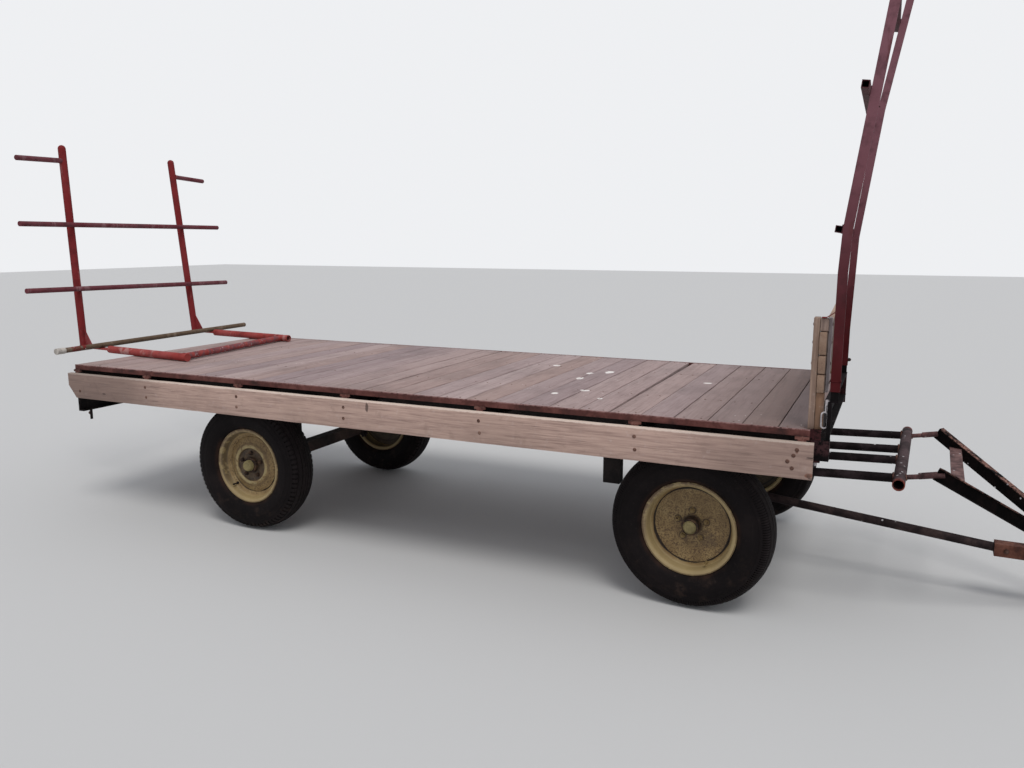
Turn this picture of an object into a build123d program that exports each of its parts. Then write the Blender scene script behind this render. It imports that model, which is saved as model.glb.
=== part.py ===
from build123d import *
import math
import os

# Flat hay wagon, steered by a turntable, in millimetres with +X forward, +Y left and +Z up.
# The pieces are placed with X = 0 and Y = 0 at the king pin and Z = 0 on the ground.
# The last lines move them so that the origin is under the middle of the whole wagon.

# Wheels and axles
wheelbase = 2620
track = 1383
tyre_diameter = 762
tyre_width = 190
shoulder_drop = 22
shoulder_inset = 13
bulge_offset = 8
rim_width = 124
flange_diameter = 445
bead_diameter = 406
rim_wall = 5
flange_lip = 8
spindle_diameter = 50
running_gap = 0.08
seat_gap = 0.3
axle_beam = 70
axle_beam_end = 570
pedestal_length = 120
pedestal_width = 60

# Deck
deck_front = 485
deck_rear = -3891
deck_half_width = 854
deck_top = 916.5
plank_thickness = 24
plank_gap = 5
wide_seam_x = -381
wide_seam_gap = 16
rear_seam_x = -1730
rear_seam_gap = 12
front_plank_pitch = 148
middle_plank_count = 9
rear_plank_count = 15
edge_angle_leg = 30
edge_angle_thickness = 5

# Chassis
cross_height = 84
cross_width = 40
cross_wall = 5
cross_places = (-3267, -2563, -1834, -1037, -258)
beam_height = 120
beam_width = 55
beam_wall = 7
beam_middle_y = 360
end_beam_width = 44
front_beam_bottom = 780
rear_beam_bottom = 620
strap_inset = 54
strap_set_back = 38
strap_width = 16
strap_thickness = 6
strap_length = 60

# Side boards
board_bottom = 714
board_top = 867
board_thickness = 28
board_overhang = 21
board_cut = 22
board_cut_height = 70
bracket_thickness = 12
bracket_width = 34
bracket_head_width = 57
bracket_head_height = 12
bracket_bottom = 735

# Turntable, stop posts and front carriage
ring_outer_radius = 370
ring_inner_radius = 310
ring_thickness = 12
bolster_place = 280
bolster_size = 50
king_pin_radius = 20
king_pin_drop = 30
king_plate_half = 70
king_plate_thickness = 15
boss_plate_thickness = 20
stop_place = -525
stop_width = 60
stop_length = 90
stop_bottom = 430
stop_inset = 2
carriage_rail = 50
carriage_rail_spacing = 600
carriage_front = 400
carriage_rear = -380
carriage_half_width = 500
rest_steer = -1.8

# Tow frame and drawbar, in the carriage's own frame
tow_tube_diameter = 40
tow_tube_outer = 455
tow_tube_inner = 116
tow_tube_rear_z = 635
cross_tube_diameter = 52
cross_tube_wall = 4
cross_tube_x = 852
cross_tube_z = 655
cross_tube_half_length = 575
rod_diameter = 22
rod_rear_y = 440
rod_reach = 14
frame_top_x = 1006
frame_top_y = 425
frame_top_z = 715
frame_inward = 0.613
frame_fall = 0.660
frame_channel_height = 60
frame_channel_width = 34
frame_channel_wall = 5
frame_plate_place = 52
frame_plate_width = 54
frame_plate_depth = 15
frame_plate_thickness = 8
drawbar_tube_diameter = 42
drawbar_rear_z = 377
coupler_rear_x = 1270
coupler_z = 252
coupler_length = 430
coupler_height = 60
coupler_width = 70
eye_outer_radius = 50
eye_bore_radius = 22
eye_thickness = 32
eye_shank = 40

# Headboard and front rack, which stand a little askew in a frame of their own
front_skew = 2
front_group_x = 443
headboard_near_top = 1377
headboard_far_post_top = 1226
headboard_plank_levels = (1070, 1148, 1226, 1322)
headboard_inset = 4
headboard_post_thickness = 26
headboard_post_width = 70
headboard_post_inset = 50
headboard_plank_thickness = 32
headboard_batten_thickness = 13
headboard_batten_width = 50
headboard_batten_inset = 60
rack_post_size = 38
rack_post_wall = 3
rack_post_top = 3050
rack_stub_top = 1160
rack_flat_rear = 24
rack_flat_front = 8
rack_foot_top = 875
rack_foot_height = 86
rack_bar_size = 28
rack_bar_wall = 3
rack_bar_drop = 200
rack_top_overhang = 150

# the lower bars' levels and their overhangs, each at the right post and at the left post
rack_bar_table = ((1730, 1730, 10, 60), (2246, 2322, 250, 150))

# Rear rack, laid on the deck, in a frame of its own: u forward along the arms, v to the left
tail_foot_x = -4440
tail_foot_y = -350
tail_yaw = -6
tail_spacing = 1101
tail_setback = 196
tail_pipe = 50
tail_pipe_wall = 4
tail_pipe_bore = 150
tail_bar = 34
tail_cross_pipe = 42
tail_plate_thickness = 10
tail_plate_width = 50
tail_plate_lap = 40
tail_plate_heel = 35
tail_upright_top = 2325
tail_bar_levels = ((1350, 1329), (1789, 1789))
tail_stub_drop = 12
tail_gusset_reach = 75
tail_gusset_height = 150
tail_gusset_thickness = 8
tail_gusset_toe = 10

# Loose pole
pole_diameter = 35
pole_place = 206
pole_near = -365
pole_far = 1506

wheel_radius = tyre_diameter / 2
plank_bottom = deck_top - plank_thickness
cross_bottom = plank_bottom - cross_height
beam_bottom = cross_bottom - beam_height
upper_ring_bottom = beam_bottom - ring_thickness
lower_ring_top = upper_ring_bottom - seat_gap
lower_ring_bottom = lower_ring_top - ring_thickness
rail_bottom = lower_ring_bottom - carriage_rail
axle_top = wheel_radius + axle_beam / 2
rear_axle_x = -wheelbase
board_front = deck_front + board_overhang
board_rear = deck_rear - board_overhang

nodes = {}


def block(x0, x1, y0, y1, z0, z1):
    middle = Pos((x0 + x1) / 2, (y0 + y1) / 2, (z0 + z1) / 2)
    return middle * Box(abs(x1 - x0), abs(y1 - y0), abs(z1 - z0))


def bar_between(start, end, radius, bore=0):
    axis = Vector(*end) - Vector(*start)
    place = Plane(origin=Vector(*start), z_dir=axis)
    low = (Align.CENTER, Align.CENTER, Align.MIN)
    solid = place * Cylinder(radius, axis.length, align=low)
    if bore:
        solid -= place * Cylinder(bore, axis.length, align=low)
    return solid


def profile_face(points):
    return make_face(Polyline(*points, close=True))


def channel_along_y(x_web, x_tip, z0, z1, y0, y1, thickness):
    # a channel whose web stands at x_web and whose flanges reach to x_tip
    turn = 1 if x_tip > x_web else -1
    inner = x_web + turn * thickness
    section = [
        (x_web, z0),
        (x_tip, z0),
        (x_tip, z0 + thickness),
        (inner, z0 + thickness),
        (inner, z1 - thickness),
        (x_tip, z1 - thickness),
        (x_tip, z1),
        (x_web, z1),
    ]
    flat = Plane(origin=(0, y1, 0), x_dir=(1, 0, 0), z_dir=(0, -1, 0))
    return extrude(flat * profile_face(section), y1 - y0)


def channel_along_x(y_web, y_tip, z0, z1, x0, x1, thickness):
    # a channel whose web stands at y_web and whose flanges reach to y_tip
    turn = 1 if y_tip > y_web else -1
    inner = y_web + turn * thickness
    section = [
        (y_web, z0),
        (y_tip, z0),
        (y_tip, z0 + thickness),
        (inner, z0 + thickness),
        (inner, z1 - thickness),
        (y_tip, z1 - thickness),
        (y_tip, z1),
        (y_web, z1),
    ]
    flat = Plane(origin=(x0, 0, 0), x_dir=(0, 1, 0), z_dir=(1, 0, 0))
    return extrude(flat * profile_face(section), x1 - x0)


def together(solids):
    return Compound(children=list(solids))


def round_body(points):
    # points are (radius, distance outwards from the tyre's middle plane)
    flat = Plane(origin=(0, 0, 0), x_dir=(1, 0, 0), z_dir=(0, 0, 1))
    return revolve(flat * profile_face(points), Axis.Y)


# Wheels
half_rim = rim_width / 2
flange_y = half_rim + flange_lip
bead_radius = bead_diameter / 2
flange_radius = flange_diameter / 2
barrel_radius = bead_radius - seat_gap
barrel_inside = barrel_radius - rim_wall
bore_radius = spindle_diameter / 2 + running_gap
shoulder_radius = wheel_radius - shoulder_drop
shoulder_y = tyre_width / 2 - shoulder_inset
bulge_radius = (flange_radius + shoulder_radius) / 2 + bulge_offset


def tyre_body():
    outline = [
        Line((bead_radius, -half_rim), (bead_radius, half_rim)),
        Line((bead_radius, half_rim), (flange_radius + seat_gap, half_rim)),
        ThreePointArc(
            (flange_radius + seat_gap, half_rim),
            (bulge_radius, tyre_width / 2),
            (shoulder_radius, shoulder_y),
        ),
        ThreePointArc(
            (shoulder_radius, shoulder_y), (wheel_radius, 0), (shoulder_radius, -shoulder_y)
        ),
        ThreePointArc(
            (shoulder_radius, -shoulder_y),
            (bulge_radius, -tyre_width / 2),
            (flange_radius + seat_gap, -half_rim),
        ),
        Line((flange_radius + seat_gap, -half_rim), (bead_radius, -half_rim)),
    ]
    return revolve(make_face(Wire(outline)), Axis.Y)


disc_inset_front = 74
disc_inset_rear = 42
disc_thickness = 8
boss_radius_front = 40
boss_radius_rear = 45
hub_radius = 55
hub_flange_front = 95
hub_flange_rear = 95
hub_flange_thickness = 12
cap_radius_front = 31
cap_radius_rear = 42
stud_circle_front = 140
stud_circle_rear = 140
stud_radius = 11
stud_height = 12
stud_count = 5
hub_inner_y = -95
spindle_end_y = 14
spindle_end_gap = 0.8
front_boss_end = 44
rear_boss_end = 22
front_cap_drop = 14
rear_cap_end = 52
cap_chamfer = 4
lip_chamfer = 4
lip_edge = 3
barrel_flare = 6
barrel_flare_depth = 10
lip_roll = 14
lip_roll_step = 1

front_disc_y = flange_y - disc_inset_front
rear_disc_y = flange_y - disc_inset_rear


def barrel_points():
    # the rim's tyre side and its inner bore, from the outer lip round to behind the disc
    return [
        (flange_radius - lip_chamfer, flange_y),
        (flange_radius, flange_y - lip_edge),
        (flange_radius, half_rim + seat_gap),
        (barrel_radius, half_rim + seat_gap),
        (barrel_radius, -half_rim - seat_gap),
        (flange_radius, -half_rim - seat_gap),
        (flange_radius, -flange_y + lip_edge),
        (flange_radius - lip_chamfer, -flange_y),
        (barrel_inside + barrel_flare, -flange_y),
        (barrel_inside, -flange_y + barrel_flare_depth),
    ]


def lip_points():
    # the rolled outer lip, from the barrel out to the flange
    return [
        (barrel_inside, flange_y - lip_roll),
        (barrel_inside + barrel_flare, flange_y - lip_chamfer),
        (barrel_inside + lip_roll, flange_y - lip_roll_step),
    ]


# radius, or distance from the barrel, and distance outwards from the disc's face
front_face_steps = ((120, 0), (172, 7), (178, 8), (179, 4), (183, 4), (186, 13))
front_barrel_edge = (-3, 22)
rear_face_steps = (
    (93, 0), (99, 11), (108, 13.5), (117, 11), (128, 5), (150, -6), (166, -13), (171, -10), (186, -5),
)
rear_barrel_edge = (-3, 4)
rear_back_steps = ((160, -24), (128, -disc_thickness))
rear_back_seat = -12


def front_wheel_body():
    back = front_disc_y - disc_thickness
    points = barrel_points()
    points.append((barrel_inside, back))
    points.append((boss_radius_front + seat_gap, back))
    points.append((boss_radius_front + seat_gap, front_disc_y))
    points += [(radius, front_disc_y + rise) for radius, rise in front_face_steps]
    points.append((barrel_inside + front_barrel_edge[0], front_disc_y + front_barrel_edge[1]))
    return round_body(points + lip_points())


def rear_wheel_body():
    points = barrel_points()
    points.append((barrel_inside, rear_disc_y + rear_back_seat))
    points += [(radius, rear_disc_y + rise) for radius, rise in rear_back_steps]
    points.append((boss_radius_rear + seat_gap, rear_disc_y - disc_thickness))
    points.append((boss_radius_rear + seat_gap, rear_disc_y))
    points += [(radius, rear_disc_y + rise) for radius, rise in rear_face_steps]
    points.append((barrel_inside + rear_barrel_edge[0], rear_disc_y + rear_barrel_edge[1]))
    return round_body(points + lip_points())


def hub_body(disc_y, flange, boss, cap, cap_end, boss_end):
    back = disc_y - disc_thickness - seat_gap
    face = back - hub_flange_thickness
    points = [
        (bore_radius, hub_inner_y),
        (hub_radius, hub_inner_y),
        (hub_radius, face),
        (flange, face),
        (flange, back),
        (boss, back),
        (boss, boss_end),
        (cap, boss_end),
        (cap, cap_end - cap_chamfer),
        (cap - cap_chamfer, cap_end),
        (0, cap_end),
        (0, spindle_end_y + spindle_end_gap),
        (bore_radius, spindle_end_y + spindle_end_gap),
    ]
    return round_body(points)


def stud_ring(disc_y, circle):
    studs = []
    for number in range(stud_count):
        turn = math.radians(90 + number * 360 / stud_count)
        x = circle / 2 * math.cos(turn)
        z = circle / 2 * math.sin(turn)
        studs.append(bar_between((x, disc_y, z), (x, disc_y + stud_height, z), stud_radius))
    return studs


tyre = tyre_body()
front_wheel = front_wheel_body()
rear_wheel = rear_wheel_body()
front_hub = hub_body(
    front_disc_y, hub_flange_front, boss_radius_front, cap_radius_front,
    flange_y - front_cap_drop, front_disc_y + front_boss_end,
)
rear_hub = hub_body(
    rear_disc_y, hub_flange_rear, boss_radius_rear, cap_radius_rear,
    rear_disc_y + rear_cap_end, rear_disc_y + rear_boss_end,
)
front_nuts = stud_ring(front_disc_y, stud_circle_front)
rear_nuts = stud_ring(rear_disc_y, stud_circle_rear)

# name, axle's place, side, wheel and hub
wheel_table = [
    ("front_left", 0, 1, front_wheel, front_hub, front_nuts),
    ("front_right", 0, -1, front_wheel, front_hub, front_nuts),
    ("rear_left", rear_axle_x, 1, rear_wheel, rear_hub, rear_nuts),
    ("rear_right", rear_axle_x, -1, rear_wheel, rear_hub, rear_nuts),
]
for name, axle_x, side, wheel, hub, nuts in wheel_table:
    place = Pos(axle_x, side * track / 2, wheel_radius)
    turn = Rot(0, 0, 0) if side > 0 else Rot(0, 0, 180)
    nodes[name + "_tyre"] = place * turn * tyre
    nodes[name + "_wheel"] = place * turn * wheel
    nodes[name + "_hub"] = together([place * turn * hub] + [place * turn * nut for nut in nuts])


def axle(axle_x):
    beam = block(
        axle_x - axle_beam / 2, axle_x + axle_beam / 2, -axle_beam_end, axle_beam_end,
        wheel_radius - axle_beam / 2, wheel_radius + axle_beam / 2,
    )
    reach = track / 2 + spindle_end_y
    pin = bar_between((axle_x, -reach, wheel_radius), (axle_x, reach, wheel_radius), spindle_diameter / 2)
    return beam + pin


# Chassis
nodes["rear_axle"] = axle(rear_axle_x)
nodes["rear_pedestals"] = together(
    block(
        rear_axle_x - pedestal_length / 2, rear_axle_x + pedestal_length / 2,
        side * beam_middle_y - pedestal_width / 2, side * beam_middle_y + pedestal_width / 2,
        axle_top, beam_bottom,
    )
    for side in (-1, 1)
)
beam_rear = deck_rear + beam_wall
nodes["main_beams"] = together(
    channel_along_x(
        side * (beam_middle_y + beam_width / 2), side * (beam_middle_y - beam_width / 2),
        beam_bottom, cross_bottom, beam_rear, deck_front, beam_wall,
    )
    for side in (-1, 1)
)

edge_leg_bottom = deck_top - edge_angle_leg


def edge_angle(side):
    outer = side * deck_half_width
    upright = block(
        deck_rear, deck_front, outer, outer - side * edge_angle_thickness, edge_leg_bottom, deck_top
    )
    foot = block(
        deck_rear, deck_front, outer, outer - side * edge_angle_leg,
        edge_leg_bottom, edge_leg_bottom + edge_angle_thickness,
    )
    return upright + foot


def room_for_angle(side):
    outer = side * deck_half_width
    return block(
        deck_rear, deck_front, outer, outer - side * (edge_angle_leg + seat_gap),
        edge_leg_bottom, deck_top,
    )


nodes["edge_angles"] = together(edge_angle(side) for side in (-1, 1))
angle_room = room_for_angle(-1) + room_for_angle(1)
nodes["cross_members"] = together(
    channel_along_y(
        place - cross_width / 2, place + cross_width / 2, cross_bottom, plank_bottom,
        -deck_half_width, deck_half_width, cross_wall,
    )
    - angle_room
    for place in cross_places
)
nodes["front_beam"] = channel_along_y(
    deck_front, deck_front + end_beam_width, front_beam_bottom, deck_top,
    -deck_half_width, deck_half_width, beam_wall,
)
nodes["rear_beam"] = channel_along_y(
    deck_rear, deck_rear + end_beam_width, rear_beam_bottom, plank_bottom,
    -deck_half_width, deck_half_width, beam_wall,
) - angle_room

plank_half = deck_half_width - edge_angle_thickness - seat_gap
plank_ends = []
# start and end of each run of planks, how many it has and the seam after its last one
plank_runs = (
    (deck_rear, rear_seam_x, rear_plank_count, rear_seam_gap),
    (rear_seam_x, wide_seam_x, middle_plank_count, wide_seam_gap),
)
for run_start, run_end, plank_count, last_gap in plank_runs:
    plank_pitch = (run_end - run_start) / plank_count
    for number in range(plank_count):
        start = run_start + number * plank_pitch
        gap = last_gap if number == plank_count - 1 else plank_gap
        plank_ends.append((start, start + plank_pitch - gap))
front_plank_count = math.ceil((deck_front - wide_seam_x) / front_plank_pitch)
for number in range(front_plank_count):
    start = wide_seam_x + number * front_plank_pitch
    plank_ends.append((start, min(start + front_plank_pitch - plank_gap, deck_front)))
nodes["deck_planks"] = together(
    block(x0, x1, -plank_half, plank_half, plank_bottom, deck_top) for x0, x1 in plank_ends
)

# Side boards
board_inner = deck_half_width + bracket_thickness
board_outer = board_inner + board_thickness


def side_board(side):
    outline = [
        (board_rear, board_top),
        (board_front, board_top),
        (board_front, board_bottom),
        (board_rear + board_cut, board_bottom),
        (board_rear + board_cut, board_bottom + board_cut_height / 2),
        (board_rear, board_bottom + board_cut_height),
    ]
    flat = Plane(origin=(0, side * board_inner, 0), x_dir=(1, 0, 0), z_dir=(0, -1, 0))
    return extrude(flat * profile_face(outline), -side * board_thickness)


nodes["side_board_left"] = side_board(1)
nodes["side_board_right"] = side_board(-1)
bracket_end = bracket_head_width / 2
bracket_places = (deck_rear + bracket_end,) + cross_places + (deck_front - bracket_end,)
bracket_top = edge_leg_bottom - seat_gap


def board_bracket(place, side):
    # a flat bar between the cross member's end and the board, with a wider head under the edge angle
    stem = block(
        place - bracket_width / 2, place + bracket_width / 2,
        side * deck_half_width, side * board_inner, bracket_bottom, bracket_top,
    )
    head = block(
        place - bracket_head_width / 2, place + bracket_head_width / 2,
        side * deck_half_width, side * board_inner, bracket_top - bracket_head_height, bracket_top,
    )
    return stem + head


nodes["board_brackets"] = together(
    board_bracket(place, side) for place in bracket_places for side in (-1, 1)
)

# Headboard
front_place = Pos(front_group_x, 0, 0) * Rot(0, 0, front_skew)
board_layer = headboard_post_thickness
headboard_front = board_layer + headboard_plank_thickness
headboard_half_width = deck_half_width - headboard_inset
post_row = headboard_half_width - headboard_post_inset
batten_row = headboard_half_width - headboard_batten_inset
planks_bottom = headboard_plank_levels[0]
planks_top = headboard_plank_levels[-1]
# side, top of the inner post and top of the batten
headboard_ends = ((-1, headboard_near_top, headboard_near_top), (1, headboard_far_post_top, planks_top))
nodes["headboard_posts"] = front_place * together(
    block(
        0, board_layer,
        side * post_row - headboard_post_width / 2, side * post_row + headboard_post_width / 2,
        deck_top, post_top,
    )
    for side, post_top, batten_top in headboard_ends
)
nodes["headboard_blocks"] = front_place * together(
    block(
        board_layer, headboard_front,
        side * post_row - headboard_post_width / 2, side * post_row + headboard_post_width / 2, low, high,
    )
    for side, low, high in (
        (-1, deck_top, planks_bottom), (1, deck_top, planks_bottom), (-1, planks_top, headboard_near_top),
    )
)
nodes["headboard_planks"] = front_place * together(
    block(
        board_layer, headboard_front, -headboard_half_width, headboard_half_width,
        low + plank_gap / 2, high - plank_gap / 2,
    )
    for low, high in zip(headboard_plank_levels, headboard_plank_levels[1:])
)
nodes["headboard_battens"] = front_place * together(
    block(
        headboard_front, headboard_front + headboard_batten_thickness,
        side * batten_row - headboard_batten_width / 2, side * batten_row + headboard_batten_width / 2,
        planks_bottom, batten_top,
    )
    for side, post_top, batten_top in headboard_ends
)

# Front rack: each post stands upright on its stub and leans forward above its bends
rack_rear = headboard_front + headboard_batten_thickness
rack_post_y = deck_half_width - rack_post_size / 2
rack_bore = rack_post_size - 2 * rack_post_wall
rack_stub_size = rack_bore - 2 * seat_gap

# side, gap behind it, level of the sleeve's open end, level of the square stub's lower end,
# level it stands on, bends as their level and the lean above them in degrees
post_table = [
    (-1, 8, 1080, 1035, rack_foot_top, ((1560, 2.7), (1729, 7.5))),
    (1, 6, 960, deck_top, deck_top, ((1170, 1.7), (1700, 7.15), (2400, 10.4))),
]


def post_line(start, end, bends):
    # the post's centre line from level to level, as its forward reach and its lean at each point
    line = [(0, start, 0)]
    reach = 0
    ends = [bend[0] for bend in bends[1:]] + [end]
    for bend, following in zip(bends, ends):
        line.append((reach, bend[0], math.radians(bend[1])))
        reach += (following - bend[0]) * math.tan(math.radians(bend[1]))
    line.append((reach, end, line[-1][2]))
    return line


def bent_bar(size, line):
    # a square bar along the line, mitred at its bends
    front = []
    rear = []
    before = line[0][2]
    for reach, level, lean in line:
        half = size / 2 / math.cos((lean - before) / 2)
        across = half * math.cos((lean + before) / 2)
        drop = half * math.sin((lean + before) / 2)
        front.append((reach + across, level - drop))
        rear.append((reach - across, level + drop))
        before = lean
    flat = Plane(origin=(0, size / 2, 0), x_dir=(1, 0, 0), z_dir=(0, -1, 0))
    return extrude(flat * profile_face(front + rear[::-1]), size)


def post_place(side, gap):
    return Pos(rack_rear + gap + rack_post_size / 2, side * rack_post_y, 0)


def rack_post(side, gap, sleeve_end, bends):
    outer = bent_bar(rack_post_size, post_line(sleeve_end, rack_post_top, bends))
    bore_line = post_line(sleeve_end - rack_post_wall, rack_post_top - rack_post_wall, bends)
    inner = bent_bar(rack_bore, bore_line)
    return post_place(side, gap) * (outer - inner)


def rack_stub(side, gap, neck, foot):
    # a square stub, which stands on a flat bar where it ends above its foot
    half = rack_stub_size / 2
    stub = block(-half, half, -half, half, neck, rack_stub_top)
    if neck > foot:
        stub += block(-rack_flat_rear, -rack_flat_front, -half, half, foot, neck)
    return front_place * post_place(side, gap) * stub


nodes["rack_posts"] = front_place * together(
    rack_post(side, gap, sleeve_end, bends) for side, gap, sleeve_end, neck, foot, bends in post_table
)
rack_stubs = [rack_stub(side, gap, neck, foot) for side, gap, sleeve_end, neck, foot, bends in post_table]
near_stub = rack_stubs[0].bounding_box()
rack_foot = block(
    deck_front + beam_wall, near_stub.max.X - rack_stub_size / 2 - rack_flat_front,
    -deck_half_width, near_stub.max.Y,
    rack_foot_top - rack_foot_height, rack_foot_top,
)
nodes["rack_stubs"] = together([rack_stubs[0] + rack_foot, rack_stubs[1]])


def post_rear_face(row, level):
    # forward place of a post's rear face at this level, and its lean there
    side, gap, sleeve_end, neck, foot, bends = row
    line = post_line(sleeve_end, level, [bend for bend in bends if bend[0] < level])
    reach, end, lean = line[-1]
    middle = rack_rear + gap + rack_post_size / 2 + reach
    return middle - rack_post_size / 2 / math.cos(lean), lean


def rack_bar(right_level, left_level, right_overhang, left_overhang):
    # the posts lean unlike, so a bar turns a little to touch both of their rear faces
    levels = (right_level, left_level)
    places = [post_rear_face(row, level) for row, level in zip(post_table, levels)]
    mean = (places[0][1] + places[1][1]) / 2
    twist = abs(places[1][1] - places[0][1]) / 2
    slope = (places[1][0] - places[0][0]) / (2 * rack_post_y)
    climb = (levels[1] - levels[0]) / (2 * rack_post_y)
    lean_room = (rack_post_size + rack_bar_size) / 2 * abs(climb) * math.tan(mean)
    room = seat_gap + rack_bar_size / 2 * math.tan(twist) + rack_post_size / 2 * abs(slope) + lean_room
    back = (rack_bar_size / 2 + room) / math.cos(mean)
    right_reach = rack_post_y + right_overhang
    length = right_reach + rack_post_y + left_overhang
    middle = (places[0][0] + places[1][0]) / 2 - back
    level = (levels[0] + levels[1]) / 2
    start = Vector(middle - slope * right_reach, -right_reach, level - climb * right_reach)
    run = Vector(slope * length, length, climb * length)
    base = Plane(origin=start, x_dir=run.cross(Vector(math.sin(mean), 0, math.cos(mean))), z_dir=run)
    inside = rack_bar_size - 2 * rack_bar_wall
    low = (Align.CENTER, Align.CENTER, Align.MIN)
    outer = base * Box(rack_bar_size, rack_bar_size, run.length, align=low)
    return outer - base * Box(inside, inside, run.length, align=low)


top_level = rack_post_top - rack_bar_drop
top_bar = (top_level, top_level, rack_top_overhang, rack_top_overhang)
nodes["rack_bars"] = front_place * together(rack_bar(*row) for row in rack_bar_table + (top_bar,))

# Rear rack
tail_pipe_z = deck_top + seat_gap + tail_pipe / 2
tail_place = Pos(tail_foot_x, tail_foot_y, 0) * Rot(0, 0, tail_yaw)
tail_plate_top = tail_pipe_z + tail_plate_thickness / 2

# v, foot u, start and end of the pipe, place of the cross tube, bore at the end, lean in degrees,
# overhang of the rails, length and level of the top stub
tail_table = [
    (0, 0, 300, 1105, 1048, 0, 2.5, 430, 375, 2220),
    (tail_spacing, -tail_setback, 54, 879, 796, tail_pipe_bore, 7, 425, 375, 2192),
]


def tail_arm(v, foot, start, end, bore):
    pipe = bar_between((start, v, tail_pipe_z), (end, v, tail_pipe_z), tail_pipe / 2)
    plate = block(
        foot - tail_plate_heel, start + tail_plate_lap, v - tail_plate_width / 2, v + tail_plate_width / 2,
        tail_pipe_z - tail_plate_thickness / 2, tail_plate_top,
    )
    arm = pipe + plate
    if bore:
        bore_start = (end - bore, v, tail_pipe_z)
        arm -= bar_between(bore_start, (end, v, tail_pipe_z), tail_pipe / 2 - tail_pipe_wall)
    return arm


def tail_cross():
    ends = [(row[4], row[0], tail_pipe_z) for row in tail_table]
    bar = bar_between(ends[0], ends[1], tail_cross_pipe / 2)
    for row in tail_table:
        bar -= bar_between((row[1], row[0], tail_pipe_z), (row[3], row[0], tail_pipe_z), tail_pipe / 2)
    return bar


tail_arms = [tail_arm(row[0], row[1], row[2], row[3], row[5]) for row in tail_table]
nodes["tail_base"] = tail_place * together(tail_arms + [tail_cross()])


def upright_u(row, z):
    return row[1] - (z - tail_plate_top) * math.tan(math.radians(row[6]))


def tail_upright(row):
    v = row[0]
    top = tail_upright_top - tail_pipe / 2
    low = tail_plate_top - tail_pipe
    start = (upright_u(row, low), v, low)
    end = (upright_u(row, top), v, top)
    pipe = bar_between(start, end, tail_pipe / 2) + Pos(*end) * Sphere(tail_pipe / 2)
    return pipe - block(
        row[1] - tail_pipe, row[1] + tail_pipe, v - tail_pipe, v + tail_pipe,
        low - tail_pipe, tail_plate_top,
    )


def tail_gusset(row):
    toe = row[1] + tail_pipe / 2 + tail_gusset_reach
    outline = [
        (row[1], tail_plate_top),
        (toe, tail_plate_top),
        (toe, tail_plate_top + tail_gusset_toe),
        (row[1], tail_plate_top + tail_gusset_height),
    ]
    flat = Plane(origin=(0, row[0] + tail_gusset_thickness / 2, 0), x_dir=(1, 0, 0), z_dir=(0, -1, 0))
    return extrude(flat * profile_face(outline), tail_gusset_thickness)


nodes["tail_uprights"] = tail_place * together(tail_upright(row) + tail_gusset(row) for row in tail_table)


def rail_slope(near_level, far_level):
    near, far = tail_table
    return (upright_u(far, far_level) - upright_u(near, near_level)) / tail_spacing


def tail_rail(levels):
    # a rail lies on the front of both uprights, which lean unlike and stand at unlike places
    slope = rail_slope(*levels)
    climb = (levels[1] - levels[0]) / tail_spacing
    touch = tail_pipe / 2 + tail_bar / 2 + seat_gap
    places = []
    for row, level in zip(tail_table, levels):
        tilt = math.tan(math.radians(row[6]))
        skew = math.sqrt(1 + (slope + climb * tilt) ** 2 + tilt ** 2)
        places.append(upright_u(row, level) + touch * skew)
    near, far = tail_table
    start = (places[0] - slope * near[7], -near[7], levels[0] - climb * near[7])
    end = (places[1] + slope * far[7], tail_spacing + far[7], levels[1] + climb * far[7])
    return bar_between(start, end, tail_bar / 2)


def tail_stub(row):
    v = row[0]
    length = row[8]
    level = row[9]
    outward = 1 if v else -1
    u = upright_u(row, level)
    side_run = outward * rail_slope(level, level) * length
    tip = (u + side_run, v + outward * length, level - tail_stub_drop)
    bar = bar_between((u, v, level), tip, tail_bar / 2)
    start = (upright_u(row, tail_plate_top), v, tail_plate_top)
    end = (upright_u(row, tail_upright_top), v, tail_upright_top)
    return bar - bar_between(start, end, tail_pipe / 2)


tail_rails = [tail_rail(levels) for levels in tail_bar_levels]
nodes["tail_rails"] = tail_place * together(tail_rails + [tail_stub(row) for row in tail_table])
pole_z = tail_plate_top + seat_gap + pole_diameter / 2
pole_slope = -tail_setback / tail_spacing
pole_start = (pole_place + pole_slope * pole_near, pole_near, pole_z)
pole_end = (pole_place + pole_slope * pole_far, pole_far, pole_z)
nodes["pole"] = tail_place * bar_between(pole_start, pole_end, pole_diameter / 2)

# Turntable, upper half
ring = Cylinder(ring_outer_radius, ring_thickness) - Cylinder(ring_inner_radius, ring_thickness)
beam_room = beam_middle_y - beam_width / 2
nodes["turntable_upper"] = Pos(0, 0, upper_ring_bottom + ring_thickness / 2) * ring
nodes["bolsters"] = together(
    block(
        place - bolster_size / 2, place + bolster_size / 2, -beam_room, beam_room,
        beam_bottom, beam_bottom + bolster_size,
    )
    for place in (-bolster_place, bolster_place)
)
king_plate_top = beam_bottom + king_plate_thickness
king_plate = block(-king_plate_half, king_plate_half, -beam_room, beam_room, beam_bottom, king_plate_top)
nodes["king_pin"] = king_plate + bar_between(
    (0, 0, rail_bottom - king_pin_drop), (0, 0, king_plate_top), king_pin_radius
)
stop_outer = beam_middle_y - stop_inset
nodes["stop_posts"] = together(
    block(
        stop_place - stop_length / 2, stop_place + stop_length / 2,
        side * (stop_outer - stop_width), side * stop_outer, stop_bottom, beam_bottom,
    )
    for side in (-1, 1)
)
strap_x = deck_rear + strap_set_back
strap_y = strap_inset - deck_half_width
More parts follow.
